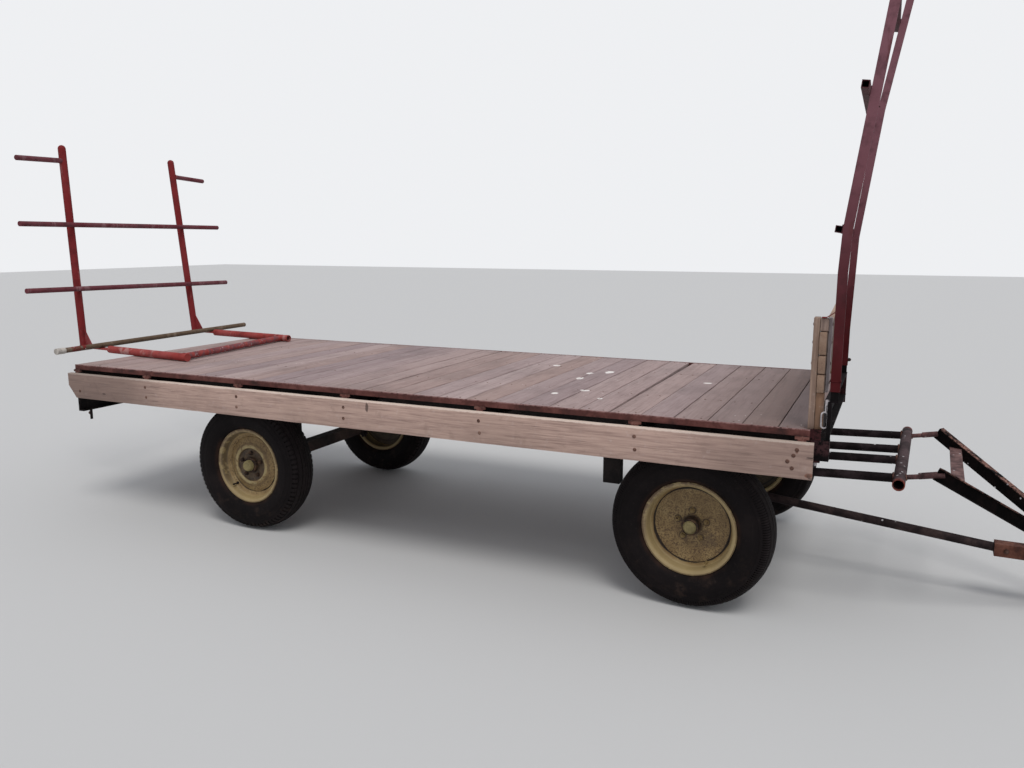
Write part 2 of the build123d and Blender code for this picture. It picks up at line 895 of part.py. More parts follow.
nodes["hanging_strap"] = block(
    strap_x, strap_x + strap_thickness, strap_y - strap_width / 2, strap_y + strap_width / 2,
    rear_beam_bottom - strap_length, rear_beam_bottom,
)

# Front carriage, square to its own frame until the last step turns it to its rest angle
carriage_nodes = {}
carriage_nodes["front_axle"] = axle(0)
carriage_nodes["turntable_lower"] = Pos(0, 0, lower_ring_bottom + ring_thickness / 2) * ring
rail_y = carriage_rail_spacing / 2
carriage_nodes["carriage_pedestals"] = together(
    block(
        -pedestal_length / 2, pedestal_length / 2, side * rail_y - pedestal_width / 2,
        side * rail_y + pedestal_width / 2, axle_top, rail_bottom,
    )
    for side in (-1, 1)
)
carriage = block(
    carriage_front - carriage_rail, carriage_front, -carriage_half_width, carriage_half_width,
    rail_bottom, lower_ring_bottom,
)
carriage += block(
    -king_plate_half, king_plate_half, -rail_y, rail_y, rail_bottom, rail_bottom + boss_plate_thickness
)
for side in (-1, 1):
    carriage += block(
        carriage_rear, carriage_front, side * rail_y - carriage_rail / 2, side * rail_y + carriage_rail / 2,
        rail_bottom, lower_ring_bottom,
    )
pin_room = bar_between(
    (0, 0, rail_bottom - king_pin_drop), (0, 0, lower_ring_top), king_pin_radius + running_gap
)
carriage_nodes["carriage_frame"] = carriage - pin_room

# Tow frame
cross_start = (cross_tube_x, -cross_tube_half_length, cross_tube_z)
cross_end = (cross_tube_x, cross_tube_half_length, cross_tube_z)
cross_radius = cross_tube_diameter / 2
cross_room = bar_between(cross_start, cross_end, cross_radius + seat_gap / 2)
carriage_nodes["tow_cross_tube"] = bar_between(
    cross_start, cross_end, cross_radius, cross_radius - cross_tube_wall
)
tow_room = block(
    carriage_front, cross_tube_x, -carriage_half_width, carriage_half_width,
    0, cross_tube_z + cross_tube_diameter,
)


def tow_tube(y):
    rise = (cross_tube_z - tow_tube_rear_z) / (cross_tube_x - carriage_front)
    back = carriage_front - tow_tube_diameter
    start = (back, y, tow_tube_rear_z - rise * tow_tube_diameter)
    tube = bar_between(start, (cross_tube_x, y, cross_tube_z), tow_tube_diameter / 2)
    return (tube & tow_room) - cross_room


tow_tube_places = (-tow_tube_outer, -tow_tube_inner, tow_tube_inner, tow_tube_outer)
carriage_nodes["tow_tubes"] = together(tow_tube(y) for y in tow_tube_places)

# A-frame: a point on a channel's upper edge moves inwards and down as it goes forward
frame_run = Vector(1, -frame_inward, -frame_fall)
coupler_side = coupler_width / 2 + seat_gap


def frame_channel(side):
    top = Vector(frame_top_x, side * frame_top_y, frame_top_z)
    run = Vector(frame_run.X, side * frame_run.Y, frame_run.Z).normalized()
    across = run.cross(Vector(0, 0, 1)).normalized() * -side
    base = Plane(origin=top, x_dir=across, z_dir=run)
    turn = -1 if base.y_dir.Z > 0 else 1
    depth = frame_channel_height * turn
    flange = frame_channel_wall * turn
    section = [
        (0, 0),
        (frame_channel_width, 0),
        (frame_channel_width, flange),
        (frame_channel_wall, flange),
        (frame_channel_wall, depth - flange),
        (frame_channel_width, depth - flange),
        (frame_channel_width, depth),
        (0, depth),
    ]
    reach = 2 * frame_top_y / frame_inward
    solid = extrude(base * profile_face(section), reach, dir=run)
    keep = block(0, frame_top_x + reach, side * coupler_side, side * 2 * frame_top_y, 0, 2 * frame_top_z)
    return solid & keep


frame_channels = [frame_channel(side) for side in (-1, 1)]
carriage_nodes["frame_channels"] = together(frame_channels)


def frame_plate():
    # a flat plate between the two webs, a little below their upper edges
    start = frame_top_x + frame_plate_place
    top = frame_top_z - frame_fall * (frame_plate_place + frame_plate_width) - frame_plate_depth
    front_y = frame_top_y - frame_inward * (frame_plate_place + frame_plate_width)
    rear_y = frame_top_y - frame_inward * frame_plate_place
    corners = [
        (start, -rear_y),
        (start + frame_plate_width, -front_y),
        (start + frame_plate_width, front_y),
        (start, rear_y),
    ]
    plate = extrude(Pos(0, 0, top) * profile_face(corners), -frame_plate_thickness)
    return plate - frame_channels[0] - frame_channels[1]


carriage_nodes["frame_plate"] = frame_plate()


def short_rod(side):
    start = (cross_tube_x, side * rod_rear_y, cross_tube_z)
    tip_y = side * (frame_top_y + rod_reach)
    tip = (frame_top_x + rod_diameter, tip_y, frame_top_z - frame_channel_height / 2)
    rod = bar_between(start, tip, rod_diameter / 2) - cross_room
    return rod - frame_channels[0] - frame_channels[1]


carriage_nodes["frame_rods"] = together(short_rod(side) for side in (-1, 1))

# Drawbar
coupler_front = coupler_rear_x + coupler_length
tube_radius = drawbar_tube_diameter / 2
drawbar_end = coupler_rear_x + drawbar_tube_diameter
drawbar = bar_between((0, 0, drawbar_rear_z), (drawbar_end, 0, coupler_z), tube_radius)
drawbar_room = block(
    axle_beam / 2, coupler_rear_x, -drawbar_tube_diameter, drawbar_tube_diameter, 0, 2 * drawbar_rear_z
)
carriage_nodes["drawbar_tube"] = drawbar & drawbar_room
carriage_nodes["coupler_bar"] = block(
    coupler_rear_x, coupler_front, -coupler_width / 2, coupler_width / 2,
    coupler_z - coupler_height / 2, coupler_z + coupler_height / 2,
)
eye_x = coupler_front + eye_shank + eye_outer_radius
eye = Pos(eye_x, 0, coupler_z) * Cylinder(eye_outer_radius, eye_thickness)
eye += block(
    coupler_front, eye_x, -eye_thickness / 2, eye_thickness / 2,
    coupler_z - eye_thickness / 2, coupler_z + eye_thickness / 2,
)
eye -= Pos(eye_x, 0, coupler_z) * Cylinder(eye_bore_radius, 2 * eye_thickness)
carriage_nodes["tow_eye"] = eye

# The carriage and its wheels rest turned a little to the right
carriage_turn = Rot(0, 0, rest_steer)
for name, shape in carriage_nodes.items():
    nodes[name] = carriage_turn * shape
for side in ("left", "right"):
    for piece in ("tyre", "wheel", "hub"):
        name = "front_" + side + "_" + piece
        nodes[name] = carriage_turn * nodes[name]

# The origin goes under the middle of the whole wagon, on the ground
boxes = [shape.bounding_box() for shape in nodes.values()]
low_x = min(box.min.X for box in boxes)
high_x = max(box.max.X for box in boxes)
low_y = min(box.min.Y for box in boxes)
high_y = max(box.max.Y for box in boxes)
middle_x = (low_x + high_x) / 2
middle_y = (low_y + high_y) / 2
os.makedirs("parts", exist_ok=True)
for name, shape in nodes.items():
    export_step(Pos(-middle_x, -middle_y, 0) * shape, "parts/" + name + ".step")
print("king pin at x", -middle_x, "y", -middle_y)
print("wheelbase", wheelbase, "rest angle", rest_steer, "length", high_x - low_x, "width", high_y - low_y)
print("tow eye from the king pin x", eye_x, "z", coupler_z)
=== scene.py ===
import bpy
import math
import random
from mathutils import Matrix, Vector


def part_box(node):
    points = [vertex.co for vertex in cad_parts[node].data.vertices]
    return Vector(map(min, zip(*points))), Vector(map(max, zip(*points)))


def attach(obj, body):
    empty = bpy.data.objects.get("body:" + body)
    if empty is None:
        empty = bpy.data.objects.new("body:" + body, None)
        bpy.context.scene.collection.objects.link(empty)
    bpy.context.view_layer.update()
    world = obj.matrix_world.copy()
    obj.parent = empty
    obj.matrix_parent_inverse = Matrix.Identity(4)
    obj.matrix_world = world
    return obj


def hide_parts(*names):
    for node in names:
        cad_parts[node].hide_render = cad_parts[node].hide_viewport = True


# Flat hay wagon. Lengths are in metres, and the wagon stands on the floor at Z = 0.
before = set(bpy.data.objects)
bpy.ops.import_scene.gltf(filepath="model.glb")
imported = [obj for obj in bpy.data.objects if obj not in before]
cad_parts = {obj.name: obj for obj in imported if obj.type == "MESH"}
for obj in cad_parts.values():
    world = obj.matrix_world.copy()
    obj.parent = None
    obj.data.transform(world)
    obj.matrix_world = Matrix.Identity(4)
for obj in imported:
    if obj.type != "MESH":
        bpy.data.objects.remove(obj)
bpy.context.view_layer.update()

# The king pin is the place that the wagon and its front carriage are set out from
pin_low, pin_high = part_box("king_pin")
pin = Vector(((pin_low.x + pin_high.x) / 2, (pin_low.y + pin_high.y) / 2, 0))
rest_steer = math.radians(-1.8)
front_skew = math.radians(2)
rack_turn = math.radians(-6)
wagon_place = Matrix.Translation(pin)
carriage_place = wagon_place @ Matrix.Rotation(rest_steer, 4, "Z")
headboard_place = wagon_place @ Matrix.Translation((0.443, 0, 0)) @ Matrix.Rotation(front_skew, 4, "Z")
rear_rack_place = wagon_place @ Matrix.Translation((-4.44, -0.35, 0)) @ Matrix.Rotation(rack_turn, 4, "Z")

wheelbase = 2.62
track = 1.383
wheel_radius = 0.381
deck_front = 0.485
deck_rear = -3.891
deck_half_width = 0.854
deck_top = 0.9165
front_beam_bottom = 0.780
nut_count = 5
nut_circle = 0.070


# Workshop

def lay_down_all():
    for obj in list(bpy.context.selected_objects):
        obj.select_set(False)


def take(obj):
    lay_down_all()
    obj.select_set(True)
    bpy.context.view_layer.objects.active = obj


def bench(obj):
    take(obj)
    bpy.ops.object.mode_set(mode="EDIT")


def off_bench():
    bpy.ops.object.mode_set(mode="OBJECT")


def fix_place(obj):
    take(obj)
    bpy.ops.object.transform_apply(location=True, rotation=True, scale=True)
    return obj


def pick_faces(obj, test):
    # in edit mode: selects the faces that pass the test, and nothing else
    bpy.ops.mesh.select_mode(type="FACE")
    bpy.ops.mesh.select_all(action="DESELECT")
    bpy.ops.object.mode_set(mode="OBJECT")
    for face in obj.data.polygons:
        face.select = bool(test(face.center, face.normal))
    bpy.ops.object.mode_set(mode="EDIT")


def pick_points(obj, test):
    bpy.ops.mesh.select_mode(type="VERT")
    bpy.ops.mesh.select_all(action="DESELECT")
    bpy.ops.object.mode_set(mode="OBJECT")
    for point in obj.data.vertices:
        point.select = bool(test(point.co))
    bpy.ops.object.mode_set(mode="EDIT")


def pick_edges(obj, test):
    bpy.ops.mesh.select_mode(type="EDGE")
    bpy.ops.mesh.select_all(action="DESELECT")
    bpy.ops.object.mode_set(mode="OBJECT")
    points = obj.data.vertices
    for edge in obj.data.edges:
        edge.select = bool(test(points[edge.vertices[0]].co, points[edge.vertices[1]].co))
    bpy.ops.object.mode_set(mode="EDIT")


def sawn_block(name, low, high):
    size = [high[i] - low[i] for i in range(3)]
    middle = [(high[i] + low[i]) / 2 for i in range(3)]
    lay_down_all()
    bpy.ops.mesh.primitive_cube_add(size=1, location=middle, scale=size)
    obj = bpy.context.object
    obj.name = name
    return fix_place(obj)


def round_bar(name, start, end, radius, sides=24):
    start, end = Vector(start), Vector(end)
    run = end - start
    lay_down_all()
    bpy.ops.mesh.primitive_cylinder_add(
        vertices=sides, radius=radius, depth=run.length, location=(start + end) / 2,
        rotation=run.to_track_quat("Z", "Y").to_euler(),
    )
    obj = bpy.context.object
    obj.name = name
    return fix_place(obj)


def use(obj, kind, **settings):
    take(obj)
    modifier = obj.modifiers.new(kind.title(), kind)
    for key, value in settings.items():
        setattr(modifier, key, value)
    bpy.ops.object.modifier_apply(modifier=modifier.name)
    return obj


def round_edges(obj, width, segments=2, angle=30):
    return use(
        obj, "BEVEL", width=width, segments=segments, limit_method="ANGLE",
        angle_limit=math.radians(angle), harden_normals=False,
    )


def even_shine(obj, angle=35):
    take(obj)
    bpy.ops.object.shade_smooth_by_angle(angle=math.radians(angle))
    return obj


def cut_away(obj, cutter):
    use(obj, "BOOLEAN", operation="DIFFERENCE", object=cutter, solver="EXACT")
    bpy.data.objects.remove(cutter)
    return obj


def weather(obj, amount, seed):
    bench(obj)
    bpy.ops.mesh.select_all(action="SELECT")
    bpy.ops.transform.vertex_random(offset=amount, uniform=0.0, normal=0.0, seed=seed)
    off_bench()
    return obj


def divide_lengthways(obj, axis, cuts):
    # cuts the edges that run along the axis, so that the piece can be a little uneven
    bench(obj)
    others = [i for i in range(3) if i != axis]
    pick_edges(obj, lambda a, b: all(abs(a[i] - b[i]) < 1e-5 for i in others))
    bpy.ops.mesh.subdivide(number_cuts=cuts)
    off_bench()
    return obj


def turned(name, points, closed=False, steps=96):
    # a lathe piece: points are (radius, distance along Y), turned round the Y axis
    lay_down_all()
    bpy.ops.mesh.primitive_plane_add(size=0.001)
    obj = bpy.context.object
    obj.name = name
    bench(obj)
    bpy.ops.mesh.select_mode(type="VERT")
    bpy.ops.mesh.select_all(action="SELECT")
    bpy.ops.mesh.merge(type="CENTER")
    bpy.ops.transform.translate(value=(points[0][0], points[0][1], 0))
    for before, after in zip(points, points[1:]):
        step = (after[0] - before[0], after[1] - before[1], 0)
        bpy.ops.mesh.extrude_vertices_move(TRANSFORM_OT_translate={"value": step})
    if closed:
        first, last = points[0], points[-1]
        pick_points(obj, lambda p: any(
            abs(p.x - r) < 1e-6 and abs(p.y - y) < 1e-6 for r, y in (first, last)))
        bpy.ops.mesh.edge_face_add()
    bpy.ops.mesh.select_mode(type="VERT")
    bpy.ops.mesh.select_all(action="SELECT")
    bpy.ops.mesh.spin(steps=steps, angle=math.tau, center=(0, 0, 0), axis=(0, 1, 0))
    bpy.ops.mesh.select_all(action="SELECT")
    bpy.ops.mesh.remove_doubles(threshold=1e-5)
    bpy.ops.mesh.normals_make_consistent(inside=False)
    off_bench()
    return obj


def bead(name, centre, direction, ring, thickness, seed=1):
    # a lumpy weld bead round a bar
    lay_down_all()
    bpy.ops.mesh.primitive_torus_add(
        location=centre, rotation=Vector(direction).to_track_quat("Z", "Y").to_euler(),
        major_radius=ring, minor_radius=thickness, major_segments=28, minor_segments=6,
    )
    obj = fix_place(bpy.context.object)
    obj.name = name
    weather(obj, thickness * 0.35, seed)
    return even_shine(obj, 60)


def hex_nut(name, across, thickness, bolt_radius, bolt_reach):
    # a nut on its washer with the bolt's end standing out, on the plane Z = 0
    lay_down_all()
    bpy.ops.mesh.primitive_cylinder_add(
        vertices=6, radius=across / math.sqrt(3), depth=thickness, location=(0, 0, 0.0025 + thickness / 2))
    nut = fix_place(bpy.context.object)
    bench(nut)
    pick_faces(nut, lambda c, n: n.z > 0.9)
    bpy.ops.mesh.inset(thickness=across * 0.09)
    bpy.ops.transform.translate(value=(0, 0, thickness * 0.1))
    off_bench()
    round_edges(nut, across * 0.02, 1)
    washer = round_bar("washer", (0, 0, 0), (0, 0, 0.0025), across * 0.68, 20)
    round_edges(washer, 0.0006, 1)
    end = round_bar("bolt_end", (0, 0, 0.002), (0, 0, thickness + bolt_reach), bolt_radius, 14)
    bench(end)
    pick_faces(end, lambda c, n: n.z > 0.9)
    bpy.ops.mesh.inset(thickness=bolt_radius * 0.25)
    bpy.ops.transform.translate(value=(0, 0, 0.0012))
    off_bench()
    return join(name, [nut, washer, end])


def dome_head(name, radius, height):
    # a mushroom bolt head on the plane Z = 0
    lay_down_all()
    bpy.ops.mesh.primitive_cylinder_add(vertices=16, radius=radius, depth=height * 0.4,
                                        location=(0, 0, height * 0.2))
    head = fix_place(bpy.context.object)
    head.name = name
    bench(head)
    pick_faces(head, lambda c, n: n.z > 0.9)
    for inset, lift in ((0.18, 0.3), (0.26, 0.2), (0.24, 0.1)):
        bpy.ops.mesh.inset(thickness=radius * inset)
        bpy.ops.transform.translate(value=(0, 0, height * lift))
    off_bench()
    return even_shine(head, 50)


def join(name, objs):
    objs = list(objs)
    take(objs[0])
    for obj in objs[1:]:
        obj.select_set(True)
    if len(objs) > 1:
        bpy.ops.object.join()
    joined = bpy.context.object
    joined.name = name
    return joined


def copy_to(obj, place):
    twin = obj.copy()
    twin.data = obj.data.copy()
    bpy.context.scene.collection.objects.link(twin)
    twin.matrix_world = place
    return fix_place(twin)


def scatter(name, model, places):
    # one copy of the model at each place, joined, and the model itself put away
    copies = [copy_to(model, place) for place in places]
    bpy.data.objects.remove(model)
    return join(name, copies)


def facing(position, normal, spin=0.0):
    turn = Vector(normal).to_track_quat("Z", "Y").to_matrix().to_4x4()
    return Matrix.Translation(position) @ turn @ Matrix.Rotation(spin, 4, "Z")


def set_out(obj, place):
    obj.matrix_world = place @ obj.matrix_world
    return fix_place(obj)


def mark(obj, name, value):
    layer = obj.data.attributes.new(name, "FLOAT", "POINT")
    layer.data.foreach_set("value", [value] * len(obj.data.vertices))
    return obj


def fit(obj, body, finish, replaced=()):
    # gives a piece its finish and the body that it rides on
    obj.data.materials.clear()
    obj.data.materials.append(finish)
    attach(obj, body)
    if replaced:
        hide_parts(*replaced)
    return obj


# Finishes

def tone(red, green, blue):
    # a paint colour given as seen, from 0 to 255
    linear = []
    for value in (red, green, blue):
        value /= 255
        linear.append(value / 12.92 if value <= 0.04045 else ((value + 0.055) / 1.055) ** 2.4)
    return (linear[0], linear[1], linear[2], 1)


class Finish:
    # one procedural finish on the object's own coordinates

    def __init__(self, name, metallic=0.0, shine=0.5):
        self.material = bpy.data.materials.new(name)
        self.material.use_nodes = True
        self.tree = self.material.node_tree
        self.shader = self.tree.nodes["Principled BSDF"]
        self.shader.inputs["Metallic"].default_value = metallic
        self.shader.inputs["Specular IOR Level"].default_value = shine
        self.object_place = self.add("ShaderNodeTexCoord").outputs["Object"]

    def add(self, kind, *values, **settings):
        node = self.tree.nodes.new(kind)
        for key, value in settings.items():
            setattr(node, key, value)
        for socket, value in zip(node.inputs, values):
            self.feed(socket, value)
        return node

    def feed(self, socket, value):
        if value is None:
            return
        if isinstance(value, bpy.types.NodeSocket):
            self.tree.links.new(value, socket)
        else:
            socket.default_value = value

    def placed(self, stretch=(1, 1, 1), shift=(0, 0, 0), turn=(0, 0, 0), source=None):
        node = self.add("ShaderNodeMapping")
        self.feed(node.inputs["Vector"], source or self.object_place)
        node.inputs["Location"].default_value = shift
        node.inputs["Rotation"].default_value = turn
        node.inputs["Scale"].default_value = stretch
        return node.outputs[0]

    def noise(self, scale, detail=4.0, rough=0.55, stretch=(1, 1, 1), shift=(0, 0, 0), warp=0.0):
        node = self.add("ShaderNodeTexNoise")
        node.inputs["Vector"].default_value = (0, 0, 0)
        self.feed(node.inputs["Vector"], self.placed(stretch, shift))
        node.inputs["Scale"].default_value = scale
        node.inputs["Detail"].default_value = detail
        node.inputs["Roughness"].default_value = rough
        node.inputs["Distortion"].default_value = warp
        return node.outputs[0]

    def inside(self, place):
        # the object's coordinates in the frame of a sub-assembly
        back = place.inverted()
        return self.placed(shift=back.to_translation(), turn=back.to_euler())

    def reach(self, place):
        # distance from the Y axis
        squares = [self.sum("MULTIPLY", value, value) for value in (place[0], place[2])]
        return self.sum("SQRT", self.sum("ADD", *squares))

    def near(self, value, middle, half, soft):
        # 1 within half of the middle value, 0 further off than half and soft together
        gap = self.sum("ABSOLUTE", self.less(value, middle))
        return self.band(gap, half + soft, half)

    def both(self, *shares):
        total = shares[0]
        for share in shares[1:]:
            total = self.sum("MULTIPLY", total, share)
        return total

    def either(self, *shares):
        total = shares[0]
        for share in shares[1:]:
            total = self.sum("MAXIMUM", total, share)
        return total

    def splat(self, centre, size, source):
        # 1 at a point and 0 a size away from it, with a ragged edge
        stretch = [1 / value for value in size]
        node = self.placed(stretch, [-c * s for c, s in zip(centre, stretch)], source=source)
        gap = self.add("ShaderNodeVectorMath", node, operation="LENGTH").outputs["Value"]
        ragged = self.noise(45.0, 3, 0.6)
        return self.band(self.plus(gap, ragged), 1.45, 1.15)

    def specks(self, scale, spread=1.0, shift=(0, 0, 0), stretch=(1, 1, 1)):
        node = self.add("ShaderNodeTexVoronoi")
        self.feed(node.inputs["Vector"], self.placed(stretch, shift))
        node.inputs["Scale"].default_value = scale
        node.inputs["Randomness"].default_value = spread
        return node.outputs["Distance"]

    def band(self, value, low, high, smooth=True):
        # 0 below low and 1 above high, or the other way round where low is above high
        node = self.add("ShaderNodeMapRange", clamp=True)
        node.interpolation_type = "SMOOTHSTEP" if smooth else "LINEAR"
        self.feed(node.inputs["Value"], value)
        node.inputs["From Min"].default_value = low
        node.inputs["From Max"].default_value = high
        return node.outputs[0]

    def ramp(self, value, stops):
        node = self.add("ShaderNodeValToRGB", value)
        marks = node.color_ramp.elements
        while len(marks) < len(stops):
            marks.new(0.5)
        for element, (place, colour) in zip(marks, stops):
            element.position = place
            element.color = colour
        return node.outputs["Color"]

    def mix(self, share, under, over, mode="MIX"):
        node = self.add("ShaderNodeMix", data_type="RGBA", blend_type=mode)
        self.feed(node.inputs[0], share)
        self.feed(node.inputs[6], under)
        self.feed(node.inputs[7], over)
        return node.outputs[2]

    def sum(self, kind, first, second=None):
        node = self.add("ShaderNodeMath", first, second, operation=kind)
        return node.outputs[0]

    def part(self, value, share):
        return self.sum("MULTIPLY", value, share)

    def plus(self, first, second):
        return self.sum("ADD", first, second)

    def less(self, first, second):
        return self.sum("SUBTRACT", first, second)

    def split(self, source=None):
        node = self.add("ShaderNodeSeparateXYZ", source or self.object_place)
        return node.outputs

    def own(self, name):
        node = self.add("ShaderNodeAttribute", attribute_name=name)
        return node.outputs["Fac"]

    def done(self, colour, roughness, height=None, depth=0.001, strength=0.6):
        self.feed(self.shader.inputs["Base Color"], colour)
        self.feed(self.shader.inputs["Roughness"], roughness)
        if height is not None:
            node = self.add("ShaderNodeBump")
            node.inputs["Strength"].default_value = strength
            node.inputs["Distance"].default_value = depth
            self.feed(node.inputs["Height"], height)
            self.feed(self.shader.inputs["Normal"], node.outputs[0])
        return self.material


def wood(name, along, pale, middle, dark, grey, droppings=(), patch=0.5, streak=0.45, ends=None, dim=(),
         drop_level=deck_top, end_grain_and_front_shade=None):
    # weathered planks: grain along one axis, cracks, stains and a different shade for each plank
    finish = Finish(name)
    fine = [26.0, 26.0, 26.0]
    fine[along] = 1.1
    long = [9.0, 9.0, 9.0]
    long[along] = 0.45
    shade = finish.own("shade")
    grain = finish.noise(5.0, 5, 0.62, fine, warp=0.35)
    figure = finish.noise(3.0, 3, 0.55, long, (3, 1, 2), 0.6)
    figures = finish.plus(finish.part(grain, 1 - streak), finish.part(figure, streak))
    colour = finish.ramp(figures, ((0.30, dark), (0.46, middle), (0.60, pale), (0.72, middle)))
    stains = finish.band(finish.noise(2.3, 4, 0.6, shift=(5, 2, 0)), 0.46, 0.70)
    colour = finish.mix(finish.part(stains, patch), colour, grey)
    spots = finish.band(finish.noise(14.0, 5, 0.7, shift=(1, 6, 3)), 0.55, 0.72)
    colour = finish.mix(finish.part(spots, 0.35), colour, dark)
    tint = finish.ramp(shade, ((0.0, tone(222, 216, 218)), (0.35, tone(244, 238, 236)),
                               (0.7, tone(234, 222, 214)), (1.0, tone(254, 250, 248))))
    colour = finish.mix(1.0, colour, tint, "MULTIPLY")
    crack_stretch = [60.0, 60.0, 60.0]
    crack_stretch[along] = 1.6
    lines = finish.noise(3.2, 2, 0.5, crack_stretch, (1, 7, 3), 0.2)
    cracks = finish.both(finish.band(lines, 0.30, 0.24),
                         finish.band(finish.noise(1.7, 2, shift=(9, 4, 1)), 0.45, 0.62))
    colour = finish.mix(finish.part(cracks, 0.8), colour, tone(48, 38, 35))
    dust = finish.band(finish.noise(38.0, 4, 0.7), 0.55, 0.78)
    colour = finish.mix(finish.part(dust, 0.25), colour, tone(206, 194, 190))
    if ends:
        # rubbed or sun-bleached upper edges, lighter also as a painted highlight, and dirt that has run down
        # from a bolt
        level, bleached_and_lit_tone = ends
        place = finish.split(finish.inside(wagon_place))
        top = finish.band(finish.plus(place[2], finish.part(finish.noise(60.0, 3), 0.008)),
                          level - 0.001, level + 0.002)
        colour = finish.mix(finish.part(top, 0.7), colour, bleached_and_lit_tone)
        for x, z, long, high, mark_tone in board_marks:
            spot = finish.splat((x, -0.894, z), (long, 0.1, high), finish.inside(wagon_place))
            colour = finish.mix(finish.part(spot, 0.8), colour, mark_tone)
    for clear, dimmest, share in dim:
        # the wood is darker towards its ends
        along_wagon = finish.plus(finish.split(finish.inside(wagon_place))[0],
                                 finish.part(finish.noise(2.5, 3), 0.3))
        end_darkening = finish.band(along_wagon, clear + 0.15, dimmest + 0.15)
        colour = finish.mix(finish.part(end_darkening, share), colour, tone(84, 68, 62))
    if end_grain_and_front_shade:
        # the sawn ends are darker, and the front face is darkened as painted shade
        end_place, half_length, front_x = end_grain_and_front_shade
        at_end = finish.split(finish.inside(end_place))
        sawn = finish.band(finish.sum("ABSOLUTE", at_end[1]), half_length - 0.005, half_length - 0.002)
        colour = finish.mix(finish.part(sawn, 0.6), colour, tone(104, 78, 60))
        front_painted_shade = finish.band(at_end[0], front_x - 0.0045, front_x - 0.002)
        colour = finish.mix(finish.part(front_painted_shade, 0.75), colour, tone(50, 40, 37))
    if droppings:
        inside = finish.inside(wagon_place)
        marks = [finish.splat((x, y, drop_level), (long, wide, 0.1), inside)
                 for x, y, long, wide in droppings]
        small = finish.band(finish.specks(30.0, 1.0, (1, 1, 1)), 0.10, 0.06)
        fewer = finish.band(finish.noise(3.0, 1, shift=(2, 2, 6)), 0.60, 0.66)
        white = finish.either(finish.both(small, fewer), *marks)
        colour = finish.mix(white, colour, tone(236, 230, 226))
    height = finish.less(finish.part(grain, 0.6), cracks)
    return finish.done(colour, finish.band(grain, -0.9, 0.95, False), height, 0.0016, 0.7)


def old_paint(name, paint, faded, worn, rust, wear=0.5, gloss=0.5, fade=0.5, high=None, cross=None):
    # paint that has faded in patches, worn thin, and rusted at the scratches
    finish = Finish(name, shine=0.15)
    cloud = finish.noise(4.0, 4, 0.6)
    colour = finish.mix(finish.part(finish.band(cloud, 0.35, 0.65), fade), paint, faded)
    if high:
        # it fades with its height above the deck
        low_level, high_level, top_tone = high
        level = finish.plus(finish.split()[2], finish.part(cloud, 0.5))
        colour = finish.mix(finish.band(level, low_level + 0.25, high_level + 0.25), colour, top_tone)
    streaks = finish.noise(9.0, 5, 0.65, (1, 1, 0.35), (3, 3, 3), 0.4)
    thin = finish.band(streaks, 0.66 - 0.16 * wear, 0.70 - 0.10 * wear)
    colour = finish.mix(finish.part(thin, 0.7), colour, worn)
    if cross:
        # the tube between the two arms is worn to its undercoat
        frame_place, middle_y, half_y, tube_tone = cross
        across = finish.near(finish.split(finish.inside(frame_place))[1], middle_y, half_y, 0.02)
        flakes = finish.band(finish.noise(30.0, 5, 0.7, shift=(4, 4, 1)), 0.44, 0.56)
        colour = finish.mix(finish.both(across, flakes), colour, tube_tone)
        flecks = finish.band(finish.noise(55.0, 3, 0.6, shift=(9, 2, 2)), 0.63, 0.67)
        colour = finish.mix(finish.both(across, flecks), colour, tone(206, 196, 196))
    chips = finish.band(finish.noise(42.0, 5, 0.7, shift=(7, 1, 4)), 0.68 - 0.12 * wear, 0.71 - 0.10 * wear)
    rusting = finish.band(finish.noise(7.0, 4, 0.6, shift=(1, 9, 5)), 0.52 - 0.1 * wear, 0.66)
    chips = finish.part(chips, rusting)
    colour = finish.mix(chips, colour, rust)
    grime = finish.noise(15.0, 5, 0.65, shift=(2, 6, 8))
    colour = finish.mix(finish.part(finish.band(grime, 0.45, 0.75), 0.45), colour, tone(40, 28, 28))
    rough = finish.plus(finish.part(grime, 0.3), finish.part(thin, 0.15))
    rough = finish.plus(rough, 0.75 - gloss * 0.4)
    height = finish.less(finish.part(grime, 0.5), finish.plus(chips, thin))
    return finish.done(colour, rough, height, 0.0008, 0.5)


def bare_rust(name, base, light, dark, specks=0.0, scale=1.0, accent=None, shine=0.25):
    # steel with little paint left: blotches, pits and a dusty bloom
    finish = Finish(name, 0.1, shine)
    blotch = finish.noise(6.0 * scale, 6, 0.62, warp=0.5)
    pits = finish.noise(90.0, 4, 0.7)
    colour = finish.ramp(blotch, ((0.32, dark), (0.48, base), (0.62, light), (0.75, base)))
    colour = finish.mix(finish.part(finish.band(pits, 0.5, 0.72), 0.5), colour, dark)
    bloom = finish.band(finish.noise(19.0 * scale, 4, 0.7, shift=(3, 2, 9)), 0.52, 0.72)
    colour = finish.mix(finish.part(bloom, 0.3), colour, light)
    if accent:
        # another tone where the accent's own rule gives 1
        where, accent_tone = accent
        share = finish.both(where(finish), finish.band(pits, 0.66, 0.40))
        colour = finish.mix(share, colour, accent_tone)
    if specks:
        dots = finish.band(finish.specks(24.0, 1.0, (1, 2, 2)), 0.14, 0.08)
        some = finish.band(finish.noise(4.0, 2, shift=(6, 3, 3)), 0.50, 0.56)
        colour = finish.mix(finish.part(finish.part(dots, some), specks), colour,
                            tone(205, 202, 204))
    height = finish.plus(finish.part(pits, 0.5), blotch)
    return finish.done(colour, finish.plus(finish.part(pits, 0.2), 0.62), height, 0.0008, 0.6)


